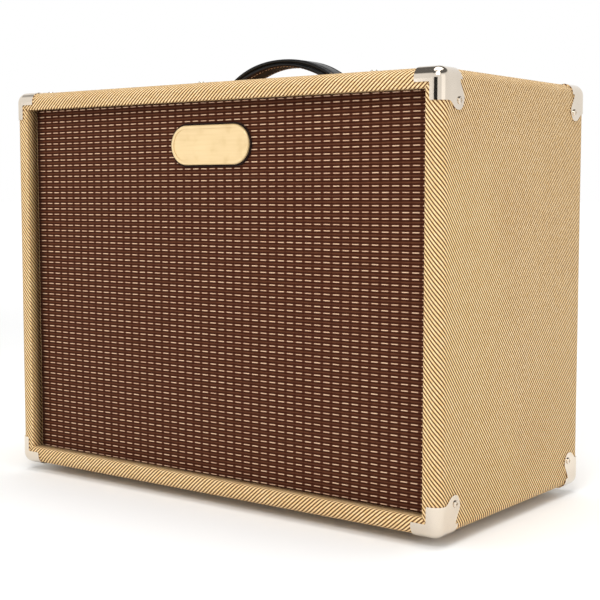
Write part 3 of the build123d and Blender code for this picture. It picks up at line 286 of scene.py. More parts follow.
def grille_weave():
    """Oxblood cloth: rows of light dashes, and a brown thread between each two rows."""
    paint = Paint("grille_cloth", Roughness=0.85, Specular_IOR_Level=0.08)
    x, _, z = paint.split(paint.place())
    level = paint.math("MULTIPLY_ADD", x, -GRILLE_SKEW, paint.math("SUBTRACT", z, GRILLE_START[1]))
    rows = paint.math("MULTIPLY_ADD", level, 1 / GRILLE_ROW, 0.5)
    columns = paint.math("MULTIPLY_ADD", paint.math("SUBTRACT", x, GRILLE_START[0]), 1 / GRILLE_DASH, 0.5)
    chance = paint.chance(paint.math("FLOOR", columns), paint.math("FLOOR", rows))
    wander = paint.math("MULTIPLY", paint.math("SUBTRACT", paint.noise(90.0, 3.0), 0.5), 0.09)
    share = paint.math("ADD", paint.math("FRACT", rows), wander)
    off_row = paint.math("ABSOLUTE", paint.math("SUBTRACT", share, 0.5))
    off_dash = paint.math("ABSOLUTE", paint.math("SUBTRACT", paint.math("FRACT", columns), 0.5))
    threads = paint.math("COSINE", paint.math("MULTIPLY", off_row, 4 * math.pi))
    threads = paint.math("MULTIPLY_ADD", threads, 0.5, 0.5)
    fuzz = paint.noise(700.0, 3.0, (0.3, 1, 1))
    threads = paint.math("MULTIPLY", threads, paint.ease(fuzz, 0.2, 0.8, 0.6, 1.0))
    weave = paint.math("MULTIPLY_ADD", paint.wave(x, GRILLE_WEFT), 0.16, threads)
    ground = paint.mix(weave, colour(48, 15, 5), colour(98, 59, 39))
    ground = paint.mix(paint.ease(off_dash, 0.38, 0.5, 0.0, 0.3), ground, colour(46, 18, 10))
    along = paint.ease(off_dash, 0.29, 0.37, 1.0, 0.0)
    dash = paint.math("MULTIPLY", paint.ease(off_row, 0.035, 0.125, 1.0, 0.0), along)
    light = paint.mix(chance, colour(204, 165, 136), colour(226, 190, 158))
    paint.set("Base Color", paint.mix(dash, ground, light))
    paint.bump(paint.math("MULTIPLY_ADD", weave, 0.5, dash), 0.4 * MM, 0.8)
    return paint.material


def wood(name, base, dark, stretch, rough=0.6):
    """Planed wood whose grain runs along the axis where stretch is small."""
    paint = Paint(name, Roughness=rough)
    growth = paint.noise(14.0, 4.0, stretch, rough=0.6)
    rings = paint.math("FRACT", paint.math("MULTIPLY", growth, 9.0))
    late = paint.ease(rings, 0.55, 0.98)
    fibre = paint.noise(160.0, 2.0, stretch)
    tone = paint.mix(paint.math("MULTIPLY", late, 0.65), base, dark)
    tone = paint.mix(paint.ease(fibre, 0.3, 0.7, 0.0, 0.35), tone, dark)
    paint.set("Base Color", tone)
    paint.set("Roughness", paint.ease(fibre, 0.2, 0.8, rough - 0.08, rough + 0.12))
    paint.bump(paint.math("MULTIPLY_ADD", late, -0.4, fibre), 0.25 * MM, 0.5)
    return paint.material


def metal(name, base, rough, grain=(1, 1, 1), scale=300.0, depth=0.02, smudge=0.06, **uniform):
    """Plated or turned metal with fine marks and uneven gloss."""
    paint = Paint(name, Metallic=1.0, **uniform)
    marks = paint.noise(scale, 3.0, grain)
    haze = paint.noise(22.0, 3.0)
    shade = tuple(value * 0.82 for value in base[:3]) + (1.0,)
    paint.set("Base Color", paint.mix(paint.ease(haze, 0.35, 0.8, 0.0, 0.7), base, shade))
    gloss = paint.math("MULTIPLY_ADD", haze, smudge, paint.math("MULTIPLY_ADD", marks, smudge, rough))
    paint.set("Roughness", gloss)
    paint.bump(marks, depth * MM, 0.4)
    return paint.material


def moulded(name, base, rough, scale=260.0, depth=0.03, mottle=0.25, **uniform):
    """Moulded plastic, rubber, card or paint, with a fine skin and uneven tone."""
    paint = Paint(name, **uniform)
    skin = paint.noise(scale, 4.0)
    cloud = paint.noise(30.0, 3.0)
    lift = tuple(min(1.0, value * 1.7 + 0.01) for value in base[:3]) + (1.0,)
    paint.set("Base Color", paint.mix(paint.ease(cloud, 0.3, 0.75, 0.0, mottle), base, lift))
    paint.set("Roughness", paint.ease(skin, 0.2, 0.8, rough - 0.06, rough + 0.08))
    paint.bump(skin, depth * MM, 0.6)
    return paint.material


def leather():
    """Black strap leather: pebbled, rubbed shinier in places."""
    paint = Paint("handle_leather", Specular_IOR_Level=0.05, Coat_Weight=0.3, Coat_Roughness=0.14)
    cells = paint.add("TexVoronoi", {"Vector": paint.place(), "Scale": 900.0}).outputs["Distance"]
    folds = paint.noise(120.0, 4.0, (0.35, 1, 1))
    height = paint.math("MULTIPLY_ADD", folds, 0.6, paint.math("MULTIPLY", cells, 0.5))
    paint.set("Base Color", paint.mix(paint.ease(folds, 0.45, 0.8), colour(10, 9, 9), colour(26, 23, 21)))
    paint.set("Roughness", paint.ease(paint.noise(40.0, 3.0), 0.3, 0.7, 0.3, 0.5))
    paint.bump(height, 0.12 * MM, 0.6)
    return paint.material


def underside_leather():
    """Brown split leather under the strap."""
    paint = Paint("handle_underside", Roughness=0.75, Specular_IOR_Level=0.2)
    nap = paint.noise(420.0, 4.0)
    paint.set("Base Color", paint.mix(nap, colour(16, 8, 6), colour(46, 26, 18)))
    paint.bump(nap, 0.15 * MM, 0.8)
    return paint.material


def cone_paper():
    """Pressed pulp with shallow rings round the cone's axis."""
    paint = Paint("cone_paper", Roughness=0.9)
    x, _, z = paint.split(paint.place())
    ring = paint.wave(paint.distance(x, paint.math("SUBTRACT", z, MID_Z)), 7 * MM)
    fibre = paint.noise(260.0, 5.0)
    paint.set("Base Color", paint.mix(fibre, colour(34, 30, 28), colour(86, 78, 72)))
    paint.bump(paint.math("MULTIPLY_ADD", ring, 0.6, fibre), 0.3 * MM, 0.7)
    return paint.material


def woven_resin():
    """Resin-dipped spider cloth."""
    paint = Paint("spider_cloth", Roughness=0.55)
    x, _, z = paint.split(paint.place())
    threads = paint.math("MULTIPLY", paint.wave(x, 0.9 * MM), paint.wave(z, 0.9 * MM))
    share = paint.math("MULTIPLY_ADD", threads, 0.5, 0.5)
    paint.set("Base Color", paint.mix(share, colour(128, 86, 36), colour(206, 158, 88)))
    paint.bump(share, 0.12 * MM, 0.8)
    return paint.material


def coil_wire():
    """Enamelled copper turns, side by side along the coil's axis."""
    paint = Paint("coil_wire", Metallic=0.9, Roughness=0.3)
    _, y, _ = paint.split(paint.place())
    share = paint.math("MULTIPLY_ADD", paint.wave(y, 0.5 * MM), 0.5, 0.5)
    # Painted shade and highlight: each turn is bright along its middle and dark where it meets the next turn,
    # so the round wire is shaded in its colour.
    paint.set("Base Color", paint.mix(share, colour(96, 44, 20), colour(206, 120, 66)))
    paint.bump(share, 0.1 * MM, 0.8)
    return paint.material


def plywood():
    """Birch plywood: long face grain, and thin plies where an edge shows."""
    paint = Paint("plywood", Roughness=0.6)
    _, y, _ = paint.split(paint.place())
    grain = paint.noise(30.0, 5.0, (0.15, 1, 1.6))
    ply = paint.ease(paint.wave(y, 3 * MM), -0.4, 0.4)
    tone = paint.mix(paint.ease(grain, 0.35, 0.7), colour(206, 170, 122), colour(160, 118, 74))
    paint.set("Base Color", paint.mix(paint.math("MULTIPLY", ply, 0.22), tone, colour(104, 70, 40)))
    paint.bump(grain, 0.2 * MM, 0.5)
    return paint.material


def badge_face():
    """Satin cream-gold plate, a little rubbed and brushed lengthwise."""
    paint = Paint("badge_metal", Metallic=0.25, Coat_Weight=0.3, Coat_Roughness=0.25)
    brushed = paint.noise(420.0, 3.0, (0.06, 1, 1))
    cloud = paint.noise(60.0, 3.0)
    tone = paint.mix(brushed, colour(212, 182, 130), colour(226, 199, 149))
    paint.set("Base Color", paint.mix(paint.ease(cloud, 0.5, 0.8, 0.0, 0.4), tone, colour(192, 156, 98)))
    paint.set("Roughness", paint.ease(cloud, 0.2, 0.8, 0.3, 0.45))
    paint.bump(brushed, 0.04 * MM, 0.6)
    return paint.material


def glass(name, tint, rough=0.02, **uniform):
    """Clear or coloured glass with faint unevenness."""
    paint = Paint(name, Transmission_Weight=1.0, IOR=1.5, **uniform)
    wave = paint.noise(60.0, 2.0)
    paint.set("Base Color", paint.mix(wave, tint, tuple(value * 0.92 for value in tint[:3]) + (1.0,)))
    paint.set("Roughness", paint.ease(wave, 0.3, 0.8, rough, rough + 0.03))
    paint.bump(wave, 0.05 * MM, 0.3)
    return paint.material


def slot_materials():
    """One material for each of the record's slots."""
    return {
        "pine": wood("pine_level", colour(222, 186, 132), colour(182, 132, 78), (0.12, 1, 1)),
        "tweed": tweed("tweed_panel", flat_cloth),
        "plywood": plywood(),
        "grille_cloth": grille_weave(),
        "badge_metal": badge_face(),
        "badge_dark": moulded("badge_dark", colour(30, 16, 12), 0.6, Specular_IOR_Level=0.1),
        "nickel": metal("nickel", colour(225, 213, 197), 0.05, depth=0.006, smudge=0.05),
        "handle_leather": leather(),
        "rubber": moulded("rubber", colour(30, 30, 30), 0.75, 180.0, 0.08),
        "black_paint": moulded("black_paint", colour(26, 26, 28), 0.38, 140.0, 0.05, 0.15, Coat_Weight=0.2),
        "gasket": moulded("gasket", colour(92, 70, 50), 0.85, 320.0, 0.15, 0.5),
        "cone_paper": cone_paper(),
        "coil_wire": coil_wire(),
        "spider_cloth": woven_resin(),
        "zinc_steel": metal("zinc_steel", colour(196, 196, 188), 0.32, (1, 0.1, 1), 260.0, 0.03, 0.12),
        "ferrite": moulded("ferrite", colour(58, 58, 60), 0.62, 380.0, 0.06, 0.3),
        "fibre_board": moulded("fibre_board", colour(58, 42, 26), 0.7, 220.0, 0.06, 0.4),
        "panel_chrome": metal("panel_chrome", colour(220, 222, 224), 0.2, (0.02, 1, 1), 700.0, 0.004, 0.12),
        "capacitor_can": moulded("capacitor_can", colour(104, 128, 168), 0.35, 90.0, 0.03, 0.2,
                                 Coat_Weight=0.4),
        "bakelite": moulded("bakelite", colour(40, 26, 20), 0.22, 120.0, 0.02, 0.3, Coat_Weight=0.5),
        "valve_glass": glass("valve_glass", colour(244, 248, 248)),
        "red_jewel": glass("red_jewel", colour(226, 24, 20), 0.04, Emission_Color=colour(255, 40, 20),
                           Emission_Strength=0.35),
        "knob": moulded("knob", colour(24, 18, 18), 0.18, 150.0, 0.02, 0.2, Coat_Weight=0.6),
        "shaft_metal": metal("shaft_metal", colour(206, 206, 204), 0.22, (1, 1, 0.1), 420.0, 0.03),
    }


MATERIALS = slot_materials()
UPRIGHT_PINE = wood("pine_upright", colour(220, 184, 130), colour(180, 130, 76), (1, 1, 0.12))
TWEED_WRAP = tweed("tweed_wrap", wrapped_cloth)


def paint_cad_nodes():
    """Give every CAD node its slot's material."""
    for part in frame["record"]["subparts"]:
        upright = part["node"] in ("left_board", "right_board", "cabinet_cleats")
        material = UPRIGHT_PINE if upright else MATERIALS[part["material_slot"]]
        mesh = NODES[part["node"]].data
        mesh.materials.clear()
        mesh.materials.append(material)


# ---------------------------------------------------------------- mesh helpers
def make_object(name, mesh, materials, body="cabinet"):
    """Link a mesh as a piece that rides on a body."""
    for material in materials:
        mesh.materials.append(material)
    piece = bpy.data.objects.new(name, mesh)
    bpy.context.scene.collection.objects.link(piece)
    if body:
        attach(piece, body)
    return piece


def finish_bmesh(bm, name, smooth_deg=40.0):
    """Merge doubles, turn the faces outwards and smooth them up to an angle."""
    bmesh.ops.remove_doubles(bm, verts=bm.verts, dist=1e-6)
    bmesh.ops.recalc_face_normals(bm, faces=bm.faces)
    return keep_bmesh(bm, name, smooth_deg)


def keep_bmesh(bm, name, smooth_deg=40.0):
    """Turn a bmesh into a mesh, smooth where its faces meet at less than an angle."""
    mesh = bpy.data.meshes.new(name)
    for face in bm.faces:
        face.smooth = True
    for edge in bm.edges:
        if len(edge.link_faces) == 2:
            edge.smooth = edge.calc_face_angle(0.0) < math.radians(smooth_deg)
    bm.to_mesh(mesh)
    bm.free()
    return mesh


def arc(centre, radius, start_deg, end_deg, steps):
    """Points of an arc in two dimensions."""
    angles = np.radians(np.linspace(start_deg, end_deg, steps + 1))
    return [(centre[0] + radius * math.cos(a), centre[1] + radius * math.sin(a)) for a in angles]


def bridge(bm, before, after):
    """Join two closed rings of the same length with quads."""
    return [bm.faces.new([before[i - 1], before[i], after[i], after[i - 1]]) for i in range(len(before))]


def loft(bm, rings):
    """Join a row of closed rings and close both ends; the side faces come back ring by ring."""
    sides = [bridge(bm, before, after) for before, after in zip(rings, rings[1:])]
    bm.faces.new(rings[0])
    bm.faces.new(rings[-1])
    return sides


def add_bar(bm, x_ends, y_ends, z_ends, place_at):
    """A straight bar between pairs of limits, in the frame of place_at."""
    corners = [(x_ends[0], y_ends[0]), (x_ends[1], y_ends[0]), (x_ends[1], y_ends[1]), (x_ends[0], y_ends[1])]
    loft(bm, [[bm.verts.new(place_at @ Vector((x, y, z))) for x, y in corners] for z in z_ends])


def lathe(bm, outline, place_at, steps=32, cap=True):
    """Turn an outline of (radius, height) points about the local Z of place_at, and add it to bm."""
    rings = []
    for radius, height in outline:
        if radius < 1e-7:
            rings.append([bm.verts.new(place_at @ Vector((0, 0, height)))])
            continue
        turns = [2 * math.pi * index / steps for index in range(steps)]
        points = [Vector((radius * math.cos(turn), radius * math.sin(turn), height)) for turn in turns]
        rings.append([bm.verts.new(place_at @ point) for point in points])
    for lower, upper in zip(rings, rings[1:]):
        for index in range(steps):
            after = (index + 1) % steps
            low_pair = [lower[index % len(lower)], lower[after % len(lower)]]
            high_pair = [upper[after % len(upper)], upper[index % len(upper)]]
            corners = list(dict.fromkeys(low_pair + high_pair))
            if len(corners) > 2:
                bm.faces.new(corners)
    if cap:
        for ring in (rings[0], rings[-1]):
            if len(ring) > 2:
                bm.faces.new(ring)


# ---------------------------------------------------------------- tweed covering
def cover_profile():
    """Depth, inset from the outside and cloth length of the covering, from its lip to its rear edge."""
    mouth_centre = (FRONT_Y + MOUTH_R, MOUTH_INSET - MOUTH_R)
    front_centre = (FRONT_Y + EDGE_R, EDGE_R)
    rear_centre = (REAR_Y - EDGE_R, EDGE_R)
    path = [(FRONT_Y + LIP_DEPTH, MOUTH_INSET)]
    path += arc(mouth_centre, MOUTH_R, 90, 180, 4)
    path += arc(front_centre, EDGE_R, 180, 270, 10)
    path += arc(rear_centre, EDGE_R, 270, 360, 8)
    path.append((REAR_Y, REAR_INSET))
    lengths = [0.0]
    for before, after in zip(path, path[1:]):
        lengths.append(lengths[-1] + math.dist(before, after))
    return [(depth, inset, length) for (depth, inset), length in zip(path, lengths)]


PANEL_HALF = (HALF_W, HALF_H, HALF_W, HALF_H)      # bottom, right, top, left
TOP_PANEL = 2
RING_COUNT = 4 * (CORNER_STEPS + 1)                # points of one ring


def panel_starts():
    """Cloth length along the perimeter at the middle of each panel."""
    reach = [half - EDGE_R + EDGE_R * math.pi / 4 for half in PANEL_HALF]
    starts = [0.0]
    for index in range(3):
        starts.append(starts[-1] + reach[index] + reach[index + 1])
    return starts


def perimeter_point(corner, step, inset):
    """X and Z of one point of the covering's ring at a corner: lower right, then anticlockwise."""
    sign_x = (1, 1, -1, -1)[corner]
    sign_z = (-1, 1, 1, -1)[corner]
    radius = max(EDGE_R - inset, 0.0)
    reach = max(inset, EDGE_R)
    angle = math.radians(-90 + 90 * corner + 90 * step / CORNER_STEPS)
    x = sign_x * (HALF_W - reach) + radius * math.cos(angle)
    z = MID_Z + sign_z * (HALF_H - reach) + radius * math.sin(angle)
    return x, z


def along_panel(panel, step, inset, at_end):
    """Cloth length from a panel's middle to a corner point, forwards or backwards."""
    straight = PANEL_HALF[panel] - max(inset, EDGE_R)
    steps = step if at_end else CORNER_STEPS - step
    turned = max(EDGE_R - inset, 0.0) * math.radians(90 * steps / CORNER_STEPS)
    return (straight + turned) * (1 if at_end else -1)


def covering_rings(bm, profile):
    """One ring round the cabinet for each point of the profile."""
    rings = []
    for depth, inset, _ in profile:
        places = [perimeter_point(*divmod(spot, CORNER_STEPS + 1), inset) for spot in range(RING_COUNT)]
        rings.append([bm.verts.new((x, depth, z)) for x, z in places])
    return rings


def covering_mesh():
    """The tweed: rings round the cabinet joined into one skin, with the control recess let into its top."""
    profile = cover_profile()
    starts = panel_starts()
    bm = bmesh.new()
    weave = bm.loops.layers.uv.new("weave")
    rings = covering_rings(bm, profile)
    side = max(range(len(profile) - 1), key=lambda i: profile[i + 1][2] - profile[i][2])   # longest step
    for level in range(len(profile) - 1):
        for spot in range(RING_COUNT):
            corner, step = divmod(spot, CORNER_STEPS + 1)
            after = (spot + 1) % RING_COUNT
            straight = step == CORNER_STEPS
            panel = (corner + 1) % 4 if step >= CORNER_STEPS // 2 else corner
            if level == side and straight and panel == TOP_PANEL:
                continue
            places = ((level, spot), (level, after), (level + 1, after), (level + 1, spot))
            face = bm.faces.new([rings[row][place] for row, place in places])
            for loop, (row, place) in zip(face.loops, places):
                at_corner, at_step = divmod(place, CORNER_STEPS + 1)
                distance = along_panel(panel, at_step, profile[row][1], at_corner == panel)
                loop[weave].uv = (profile[row][2], starts[panel] + distance)
    right = TOP_PANEL * (CORNER_STEPS + 1) - 1
    top = [rings[side][right], rings[side][right + 1], rings[side + 1][right + 1], rings[side + 1][right]]
    add_window(bm, weave, top, profile[side][2] - profile[side][0], starts[TOP_PANEL])
    bmesh.ops.remove_doubles(bm, verts=bm.verts, dist=1e-6)
    bmesh.ops.dissolve_degenerate(bm, edges=bm.edges, dist=1e-7)
    bmesh.ops.recalc_face_normals(bm, faces=bm.faces)
    return keep_bmesh(bm, "tweed_covering", 50.0)


def rounded_rectangle(half_x, y_range, radius, steps=5):
    """Points round the control recess, anticlockwise from its right rear corner."""
    points = []
    front, rear = y_range
    for x, y, start in ((half_x, rear, 0), (-half_x, rear, 90), (-half_x, front, 180), (half_x, front, 270)):
        centre = (x - math.copysign(radius, x), y - radius if start < 180 else y + radius)
        points += arc(centre, radius, start, start + 90, steps)
    return points


def add_window(bm, weave, outer, across_offset, start):
    """Fill the top round the recess and turn the cloth down its walls."""
    levels = [(grow, TOP_Z - MOUTH_R + drop) for grow, drop in arc((MOUTH_R, 0), MOUTH_R, 90, 180, 3)]
    levels.append((0.0, PANEL_TOP + 0.05 * MM))
    loops = []
    for grow, height in levels:
        y_range = (WINDOW_Y[0] - grow, WINDOW_Y[1] + grow)
        points = rounded_rectangle(WINDOW_HALF_X + grow, y_range, WINDOW_R + grow)
        loops.append([bm.verts.new((x, y, height)) for x, y in points])
    edges = []
    for ring in (loops[0], outer):
        for ends in zip([ring[-1]] + ring, ring):
            edges.append(bm.edges.get(ends) or bm.edges.new(ends))
    filled = bmesh.ops.triangle_fill(bm, use_beauty=True, edges=edges, normal=(0, 0, 1))
    made = [item for item in filled["geom"] if isinstance(item, bmesh.types.BMFace)]
    for upper, lower in zip(loops, loops[1:]):
        made += bridge(bm, upper, lower)
    for face in made:
        for loop in face.loops:
            x, y, z = loop.vert.co
            drop = max(TOP_Z - z, 0.0)
            side_wall = abs(x) - WINDOW_HALF_X > abs(y - CONTROL_Y) - (WINDOW_Y[1] - CONTROL_Y)
            across = across_offset + y + (0 if side_wall else math.copysign(drop, CONTROL_Y - y))
            along = start - x + (math.copysign(drop, x) if side_wall else 0)
            loop[weave].uv = (across, along)


def tweed_covering():
    """The cloth glued round the cabinet, in place of the CAD's plain skin."""
    piece = make_object("tweed_covering", covering_mesh(), [TWEED_WRAP])
    shell = piece.modifiers.new("cloth", "SOLIDIFY")
    shell.thickness = CLOTH_T
    shell.offset = -1.0
    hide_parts("tweed_cover")
    profile = cover_profile()


# ---------------------------------------------------------------- grille cloth
def grille():
    """Cloth stretched over the baffle, ribbed by its rows of thick threads."""
    rows = round((GRILLE_HIGH.z - GRILLE_LOW.z) / (GRILLE_ROW / 8))
    columns = 40
    bm = bmesh.new()
    heights = np.linspace(GRILLE_LOW.z, GRILLE_HIGH.z, rows + 1)
    across = np.linspace(GRILLE_LOW.x, GRILLE_HIGH.x, columns + 1)
    grid = []
    for z in heights:
        row = []
        for x in across:
            phase = 2 * math.pi * (z - GRILLE_SKEW * x - GRILLE_START[1]) / GRILLE_ROW
            lift = GRILLE_RELIEF * (0.5 * math.cos(phase) + 0.5 * math.cos(2 * phase))
            row.append(bm.verts.new((x, GRILLE_LOW.y + GRILLE_RELIEF - lift, z)))
        grid.append(row)
    for lower, upper in zip(grid, grid[1:]):
        for index in range(columns):
            bm.faces.new([lower[index], lower[index + 1], upper[index + 1], upper[index]])
    piece = make_object("grille_weave", keep_bmesh(bm, "grille_weave", 80.0), [MATERIALS["grille_cloth"]])
    shell = piece.modifiers.new("cloth", "SOLIDIFY")
    shell.thickness = GRILLE_T
    shell.offset = -1.0
    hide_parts("grille_cloth")


# ---------------------------------------------------------------- handle
def strap_line():
    """X, underside and top of the CAD strap at stations along it, found by rays from below and above."""
    cad_strap = NODES["handle_strap"]
    low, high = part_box("handle_strap")
    off_seam = 1 * MM
    away = 10 * MM
    line = []
    for x in np.linspace(low.x + 0.2 * MM, high.x - 0.2 * MM, STRAP_STATIONS):
        down = cad_strap.ray_cast(Vector((x, off_seam, high.z + away)), Vector((0, 0, -1)))
        up = cad_strap.ray_cast(Vector((x, off_seam, low.z - away)), Vector((0, 0, 1)))
        line.append((x, up[1].z, down[1].z))
    return line


def handle_strap(line):
    """Moulded strap with beaded edges and a channel for its stitches."""
    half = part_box("handle_strap")[1].y
    section = list(STRAP_SECTION) + [(-y, z) for y, z in STRAP_SECTION[-2:0:-1]]
    underside_end = len(section) - UNDERSIDE_START
    bm = bmesh.new()
    rings = []
    for x, low, high in line:
        rings.append([bm.verts.new((x, half * y, low + (high - low) * z)) for y, z in section])
    for ring in loft(bm, rings):
        for face in ring[UNDERSIDE_START + 1:underside_end + 1]:
            face.material_index = 1
    mesh = finish_bmesh(bm, "strap", 60.0)
    piece = make_object("strap", mesh, [MATERIALS["handle_leather"], underside_leather()], "handle")
    smooth = piece.modifiers.new("smooth", "SUBSURF")
    smooth.levels = 1
    smooth.render_levels = 1
    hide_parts("handle_strap")


def stitch(bm, start, end):
    """One thread: a bead stretched between two points."""
    direction = end - start
    turn = direction.to_track_quat("Z", "Y").to_matrix().to_4x4()
    length = direction.length
    shape = ((0, 0), (1, 0.15), (1.15, 0.5), (1, 0.85), (0, 1))
    outline = [(STITCH_R * radius, length * share) for radius, share in shape]
    lathe(bm, outline, Matrix.Translation(start) @ turn, 8, cap=False)


def handle_stitching(line):
    """Stitches in the channels along both edges, above and below."""
    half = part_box("handle_strap")[1].y
    above = [Vector((x, 0, high - STITCH_SUNK * (high - low) + 0.25 * MM)) for x, low, high in line]
    below = [Vector((x, 0, low + 0.1 * MM)) for x, low, _ in line]
    bm = bmesh.new()
    for channel, points in ((TOP_CHANNEL, above), (UNDER_CHANNEL, below)):
        lengths = np.cumsum([0.0] + [(b - a).length for a, b in zip(points, points[1:])])
        for start in np.arange(4 * MM, lengths[-1] - 6 * MM, STITCH_PITCH):
            ends = []
            for mark in (start, start + STITCH_LENGTH):
                place = [np.interp(mark, lengths, [point[axis] for point in points]) for axis in range(3)]
                ends.append(Vector(place))
            for sign in (-1, 1):
                shift = Vector((0, sign * channel * half, 0))
                stitch(bm, ends[0] + shift, ends[1] + shift)
    thread = moulded("thread", colour(178, 142, 120), 0.6, 900.0, 0.1, 0.4)
    piece = make_object("strap_stitches", finish_bmesh(bm, "strap_stitches"), [thread], "handle")


# ---------------------------------------------------------------- moving rims of the loudspeaker
def corrugation(radii, waves, height, level):
    """Radius and depth of a corrugated ring, the same as the CAD solid's."""
    inner, outer = radii
    steps = 6 * waves
    points = [(inner, level)]
    for index in range(steps + 1):
        share = index / steps
        radius = inner + RIM_LAND + share * (outer - inner - 2 * RIM_LAND)
        points.append((radius, level + height * math.sin(share * waves * 2 * math.pi)))
    return points + [(outer, level)]


def ring_sectors(name, node, slot, outline):
    """A flexible ring cut into sectors."""
    centre = Vector((0, BAFFLE_BACK_Y, MID_Z))
    half = math.pi / RIM_SECTORS
    closed = outline + [(radius, depth - RIM_T) for radius, depth in reversed(outline)]
    first = None
    for sector in range(RIM_SECTORS):
        middle = 2 * half * sector
        bm = bmesh.new()
        rows = []
        for turn in np.linspace(middle - half, middle + half, 7):
            way = Vector((math.cos(turn), 0, math.sin(turn)))
            places = [centre + radius * way + Vector((0, depth, 0)) for radius, depth in closed]
            rows.append([bm.verts.new(place) for place in places])
        loft(bm, rows)
        piece = make_object(f"{name}_{sector + 1:02d}", finish_bmesh(bm, name), [MATERIALS[slot]], None)
        way = Vector((math.cos(middle), 0, math.sin(middle)))
        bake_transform(piece)
        first = first or piece
    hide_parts(node)


def loudspeaker_rims():
    """The paper surround and the resin-dipped spider."""
    surround = corrugation(SURROUND_R, 2, SURROUND_WAVE, SURROUND_DEPTH)
    ring_sectors("surround", "cone_surround", "cone_paper", surround)
    spider = corrugation(SPIDER_R, 5, SPIDER_WAVE, SPIDER_DEPTH)
    ring_sectors("spider_ring", "spider", "spider_cloth", spider)


# ---------------------------------------------------------------- inside the valves
def solid_boxes(node):
    """Lowest and highest corner of each separate solid of a node, from left to right."""
    bm = bmesh.new()
    bm.from_mesh(NODES[node].data)
    bmesh.ops.remove_doubles(bm, verts=bm.verts, dist=1e-6)
    seen = set()
    found = []
    for vert in bm.verts:
        if vert.index in seen:
            continue
        group = [vert]
        seen.add(vert.index)
        for member in group:
            for edge in member.link_edges:
                other = edge.other_vert(member)
                if other.index not in seen:
                    seen.add(other.index)
                    group.append(other)
        points = np.array([member.co for member in group])
        found.append((points.min(0), points.max(0)))
    bm.free()
    return sorted(found, key=lambda ends: ends[0][0])


def valve_inside(bm, low, high, plate_half, plate_r):
    """Plate, mica discs and support rods of one hanging valve."""
    radius = (high[0] - low[0]) / 2
    centre = Matrix.Translation(((low[0] + high[0]) / 2, (low[1] + high[1]) / 2, 0))
    bottom = low[2] + radius * 0.95
    top = high[2] - 5 * MM
    for height in (bottom, top):
        disc = [(0, height), (radius * 0.8, height), (radius * 0.8, height + MICA_T), (0, height + MICA_T)]
        lathe(bm, disc, centre, 24, cap=False)
    for sign in (-1, 1):
        rod = centre @ Matrix.Translation((sign * plate_half * 1.12, 0, 0))
        lathe(bm, [(ROD_R, bottom - 2 * MM), (ROD_R, top + 4 * MM)], rod, 8)
    outline = arc((plate_half - plate_r, 0), plate_r, -90, 90, 6)
    outline += arc((plate_r - plate_half, 0), plate_r, 90, 270, 6)
    rings = []
    for height in np.linspace(bottom + 2.5 * MM, top - 2 * MM, 9):
        rib = 1.0 if len(rings) % 2 else 0.93
        rings.append([bm.verts.new(centre @ Vector((x, y * rib, height))) for x, y in outline])
    loft(bm, rings)


def valves():
    """Electrodes and the silvered getter patch inside each glass bulb."""
    plates = bmesh.new()
    getters = bmesh.new()
    for node, plate_size in (("power_valves", POWER_PLATE), ("preamp_valves", PREAMP_PLATE)):
        for low, high in solid_boxes(node):
            valve_inside(plates, low, high, *plate_size)
            radius = (high[0] - low[0]) / 2
            middle = Vector(((low[0] + high[0]) / 2, (low[1] + high[1]) / 2, low[2] + radius))
            dome = arc((0, 0), radius - BULB_T, -90, -22, 6)
            shell = dome + [(x * 0.985, z * 0.985) for x, z in reversed(dome)]
            lathe(getters, shell, Matrix.Translation(middle), 32, cap=False)
    plate = metal("valve_plate", colour(92, 92, 94), 0.42, (1, 1, 0.2), 240.0, 0.04)
    mirror = metal("getter_mirror", colour(150, 152, 156), 0.08, smudge=0.12)
    make_object("valve_electrodes", finish_bmesh(plates, "valve_electrodes"), [plate])
    make_object("valve_getters", finish_bmesh(getters, "valve_getters"), [mirror])


# ---------------------------------------------------------------- control panel marks
def knob_centres():
    """Middle of each knob's skirt, from its shaft."""
    centres = []
    for name in ("volume_shaft", "treble_shaft", "bass_shaft"):
        low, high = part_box(name)
        centres.append(((low.x + high.x) / 2, (low.y + high.y) / 2))
    return centres


def add_numeral(bm, text, x, y, size):
    """A numeral printed flat on the panel."""
    curve = bpy.data.curves.new("numeral", "FONT")
    curve.body = text
    curve.size = size
    curve.align_x = "CENTER"
    curve.align_y = "CENTER"
    curve.extrude = INK_T / 2
    holder = bpy.data.objects.new("numeral", curve)
    mesh = bpy.data.meshes.new_from_object(holder)
    mesh.transform(Matrix.Translation((x, y, PANEL_TOP + INK_T / 2)))
    bm.from_mesh(mesh)
    bpy.data.objects.remove(holder)
    bpy.data.meshes.remove(mesh)
    bpy.data.curves.remove(curve)


def add_tick(bm, x, y, angle, radii, width):
    """A printed line from an inner to an outer radius."""
    turn = Matrix.Translation((x, y, PANEL_TOP)) @ Matrix.Rotation(-angle, 4, "Z")
    add_bar(bm, (-width / 2, width / 2), radii, (0, INK_T), turn)


def panel_marks():
    """Numbers 1 to 10 round each knob, and a line before and behind each switch."""
    bm = bmesh.new()
    for x, y in knob_centres():
        for number, turn in enumerate(np.linspace(-CONTROL_TURN, CONTROL_TURN, 10), 1):
            angle = math.radians(turn)
            add_tick(bm, x, y, angle, TICK_R, TICK_WIDTH)
            place = (x + NUMERAL_R * math.sin(angle), y + NUMERAL_R * math.cos(angle))
            add_numeral(bm, str(number), *place, NUMERAL_SIZE)
    for name in ("standby_toggle", "power_toggle"):
        low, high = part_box(name)
        for angle in (0.0, math.pi):
            add_tick(bm, (low.x + high.x) / 2, CONTROL_Y, angle, SWITCH_MARK_R, SWITCH_MARK_WIDTH)
    ink = moulded("panel_ink", colour(22, 22, 24), 0.5, 500.0, 0.01, 0.15)
    make_object("panel_marks", finish_bmesh(bm, "panel_marks"), [ink])


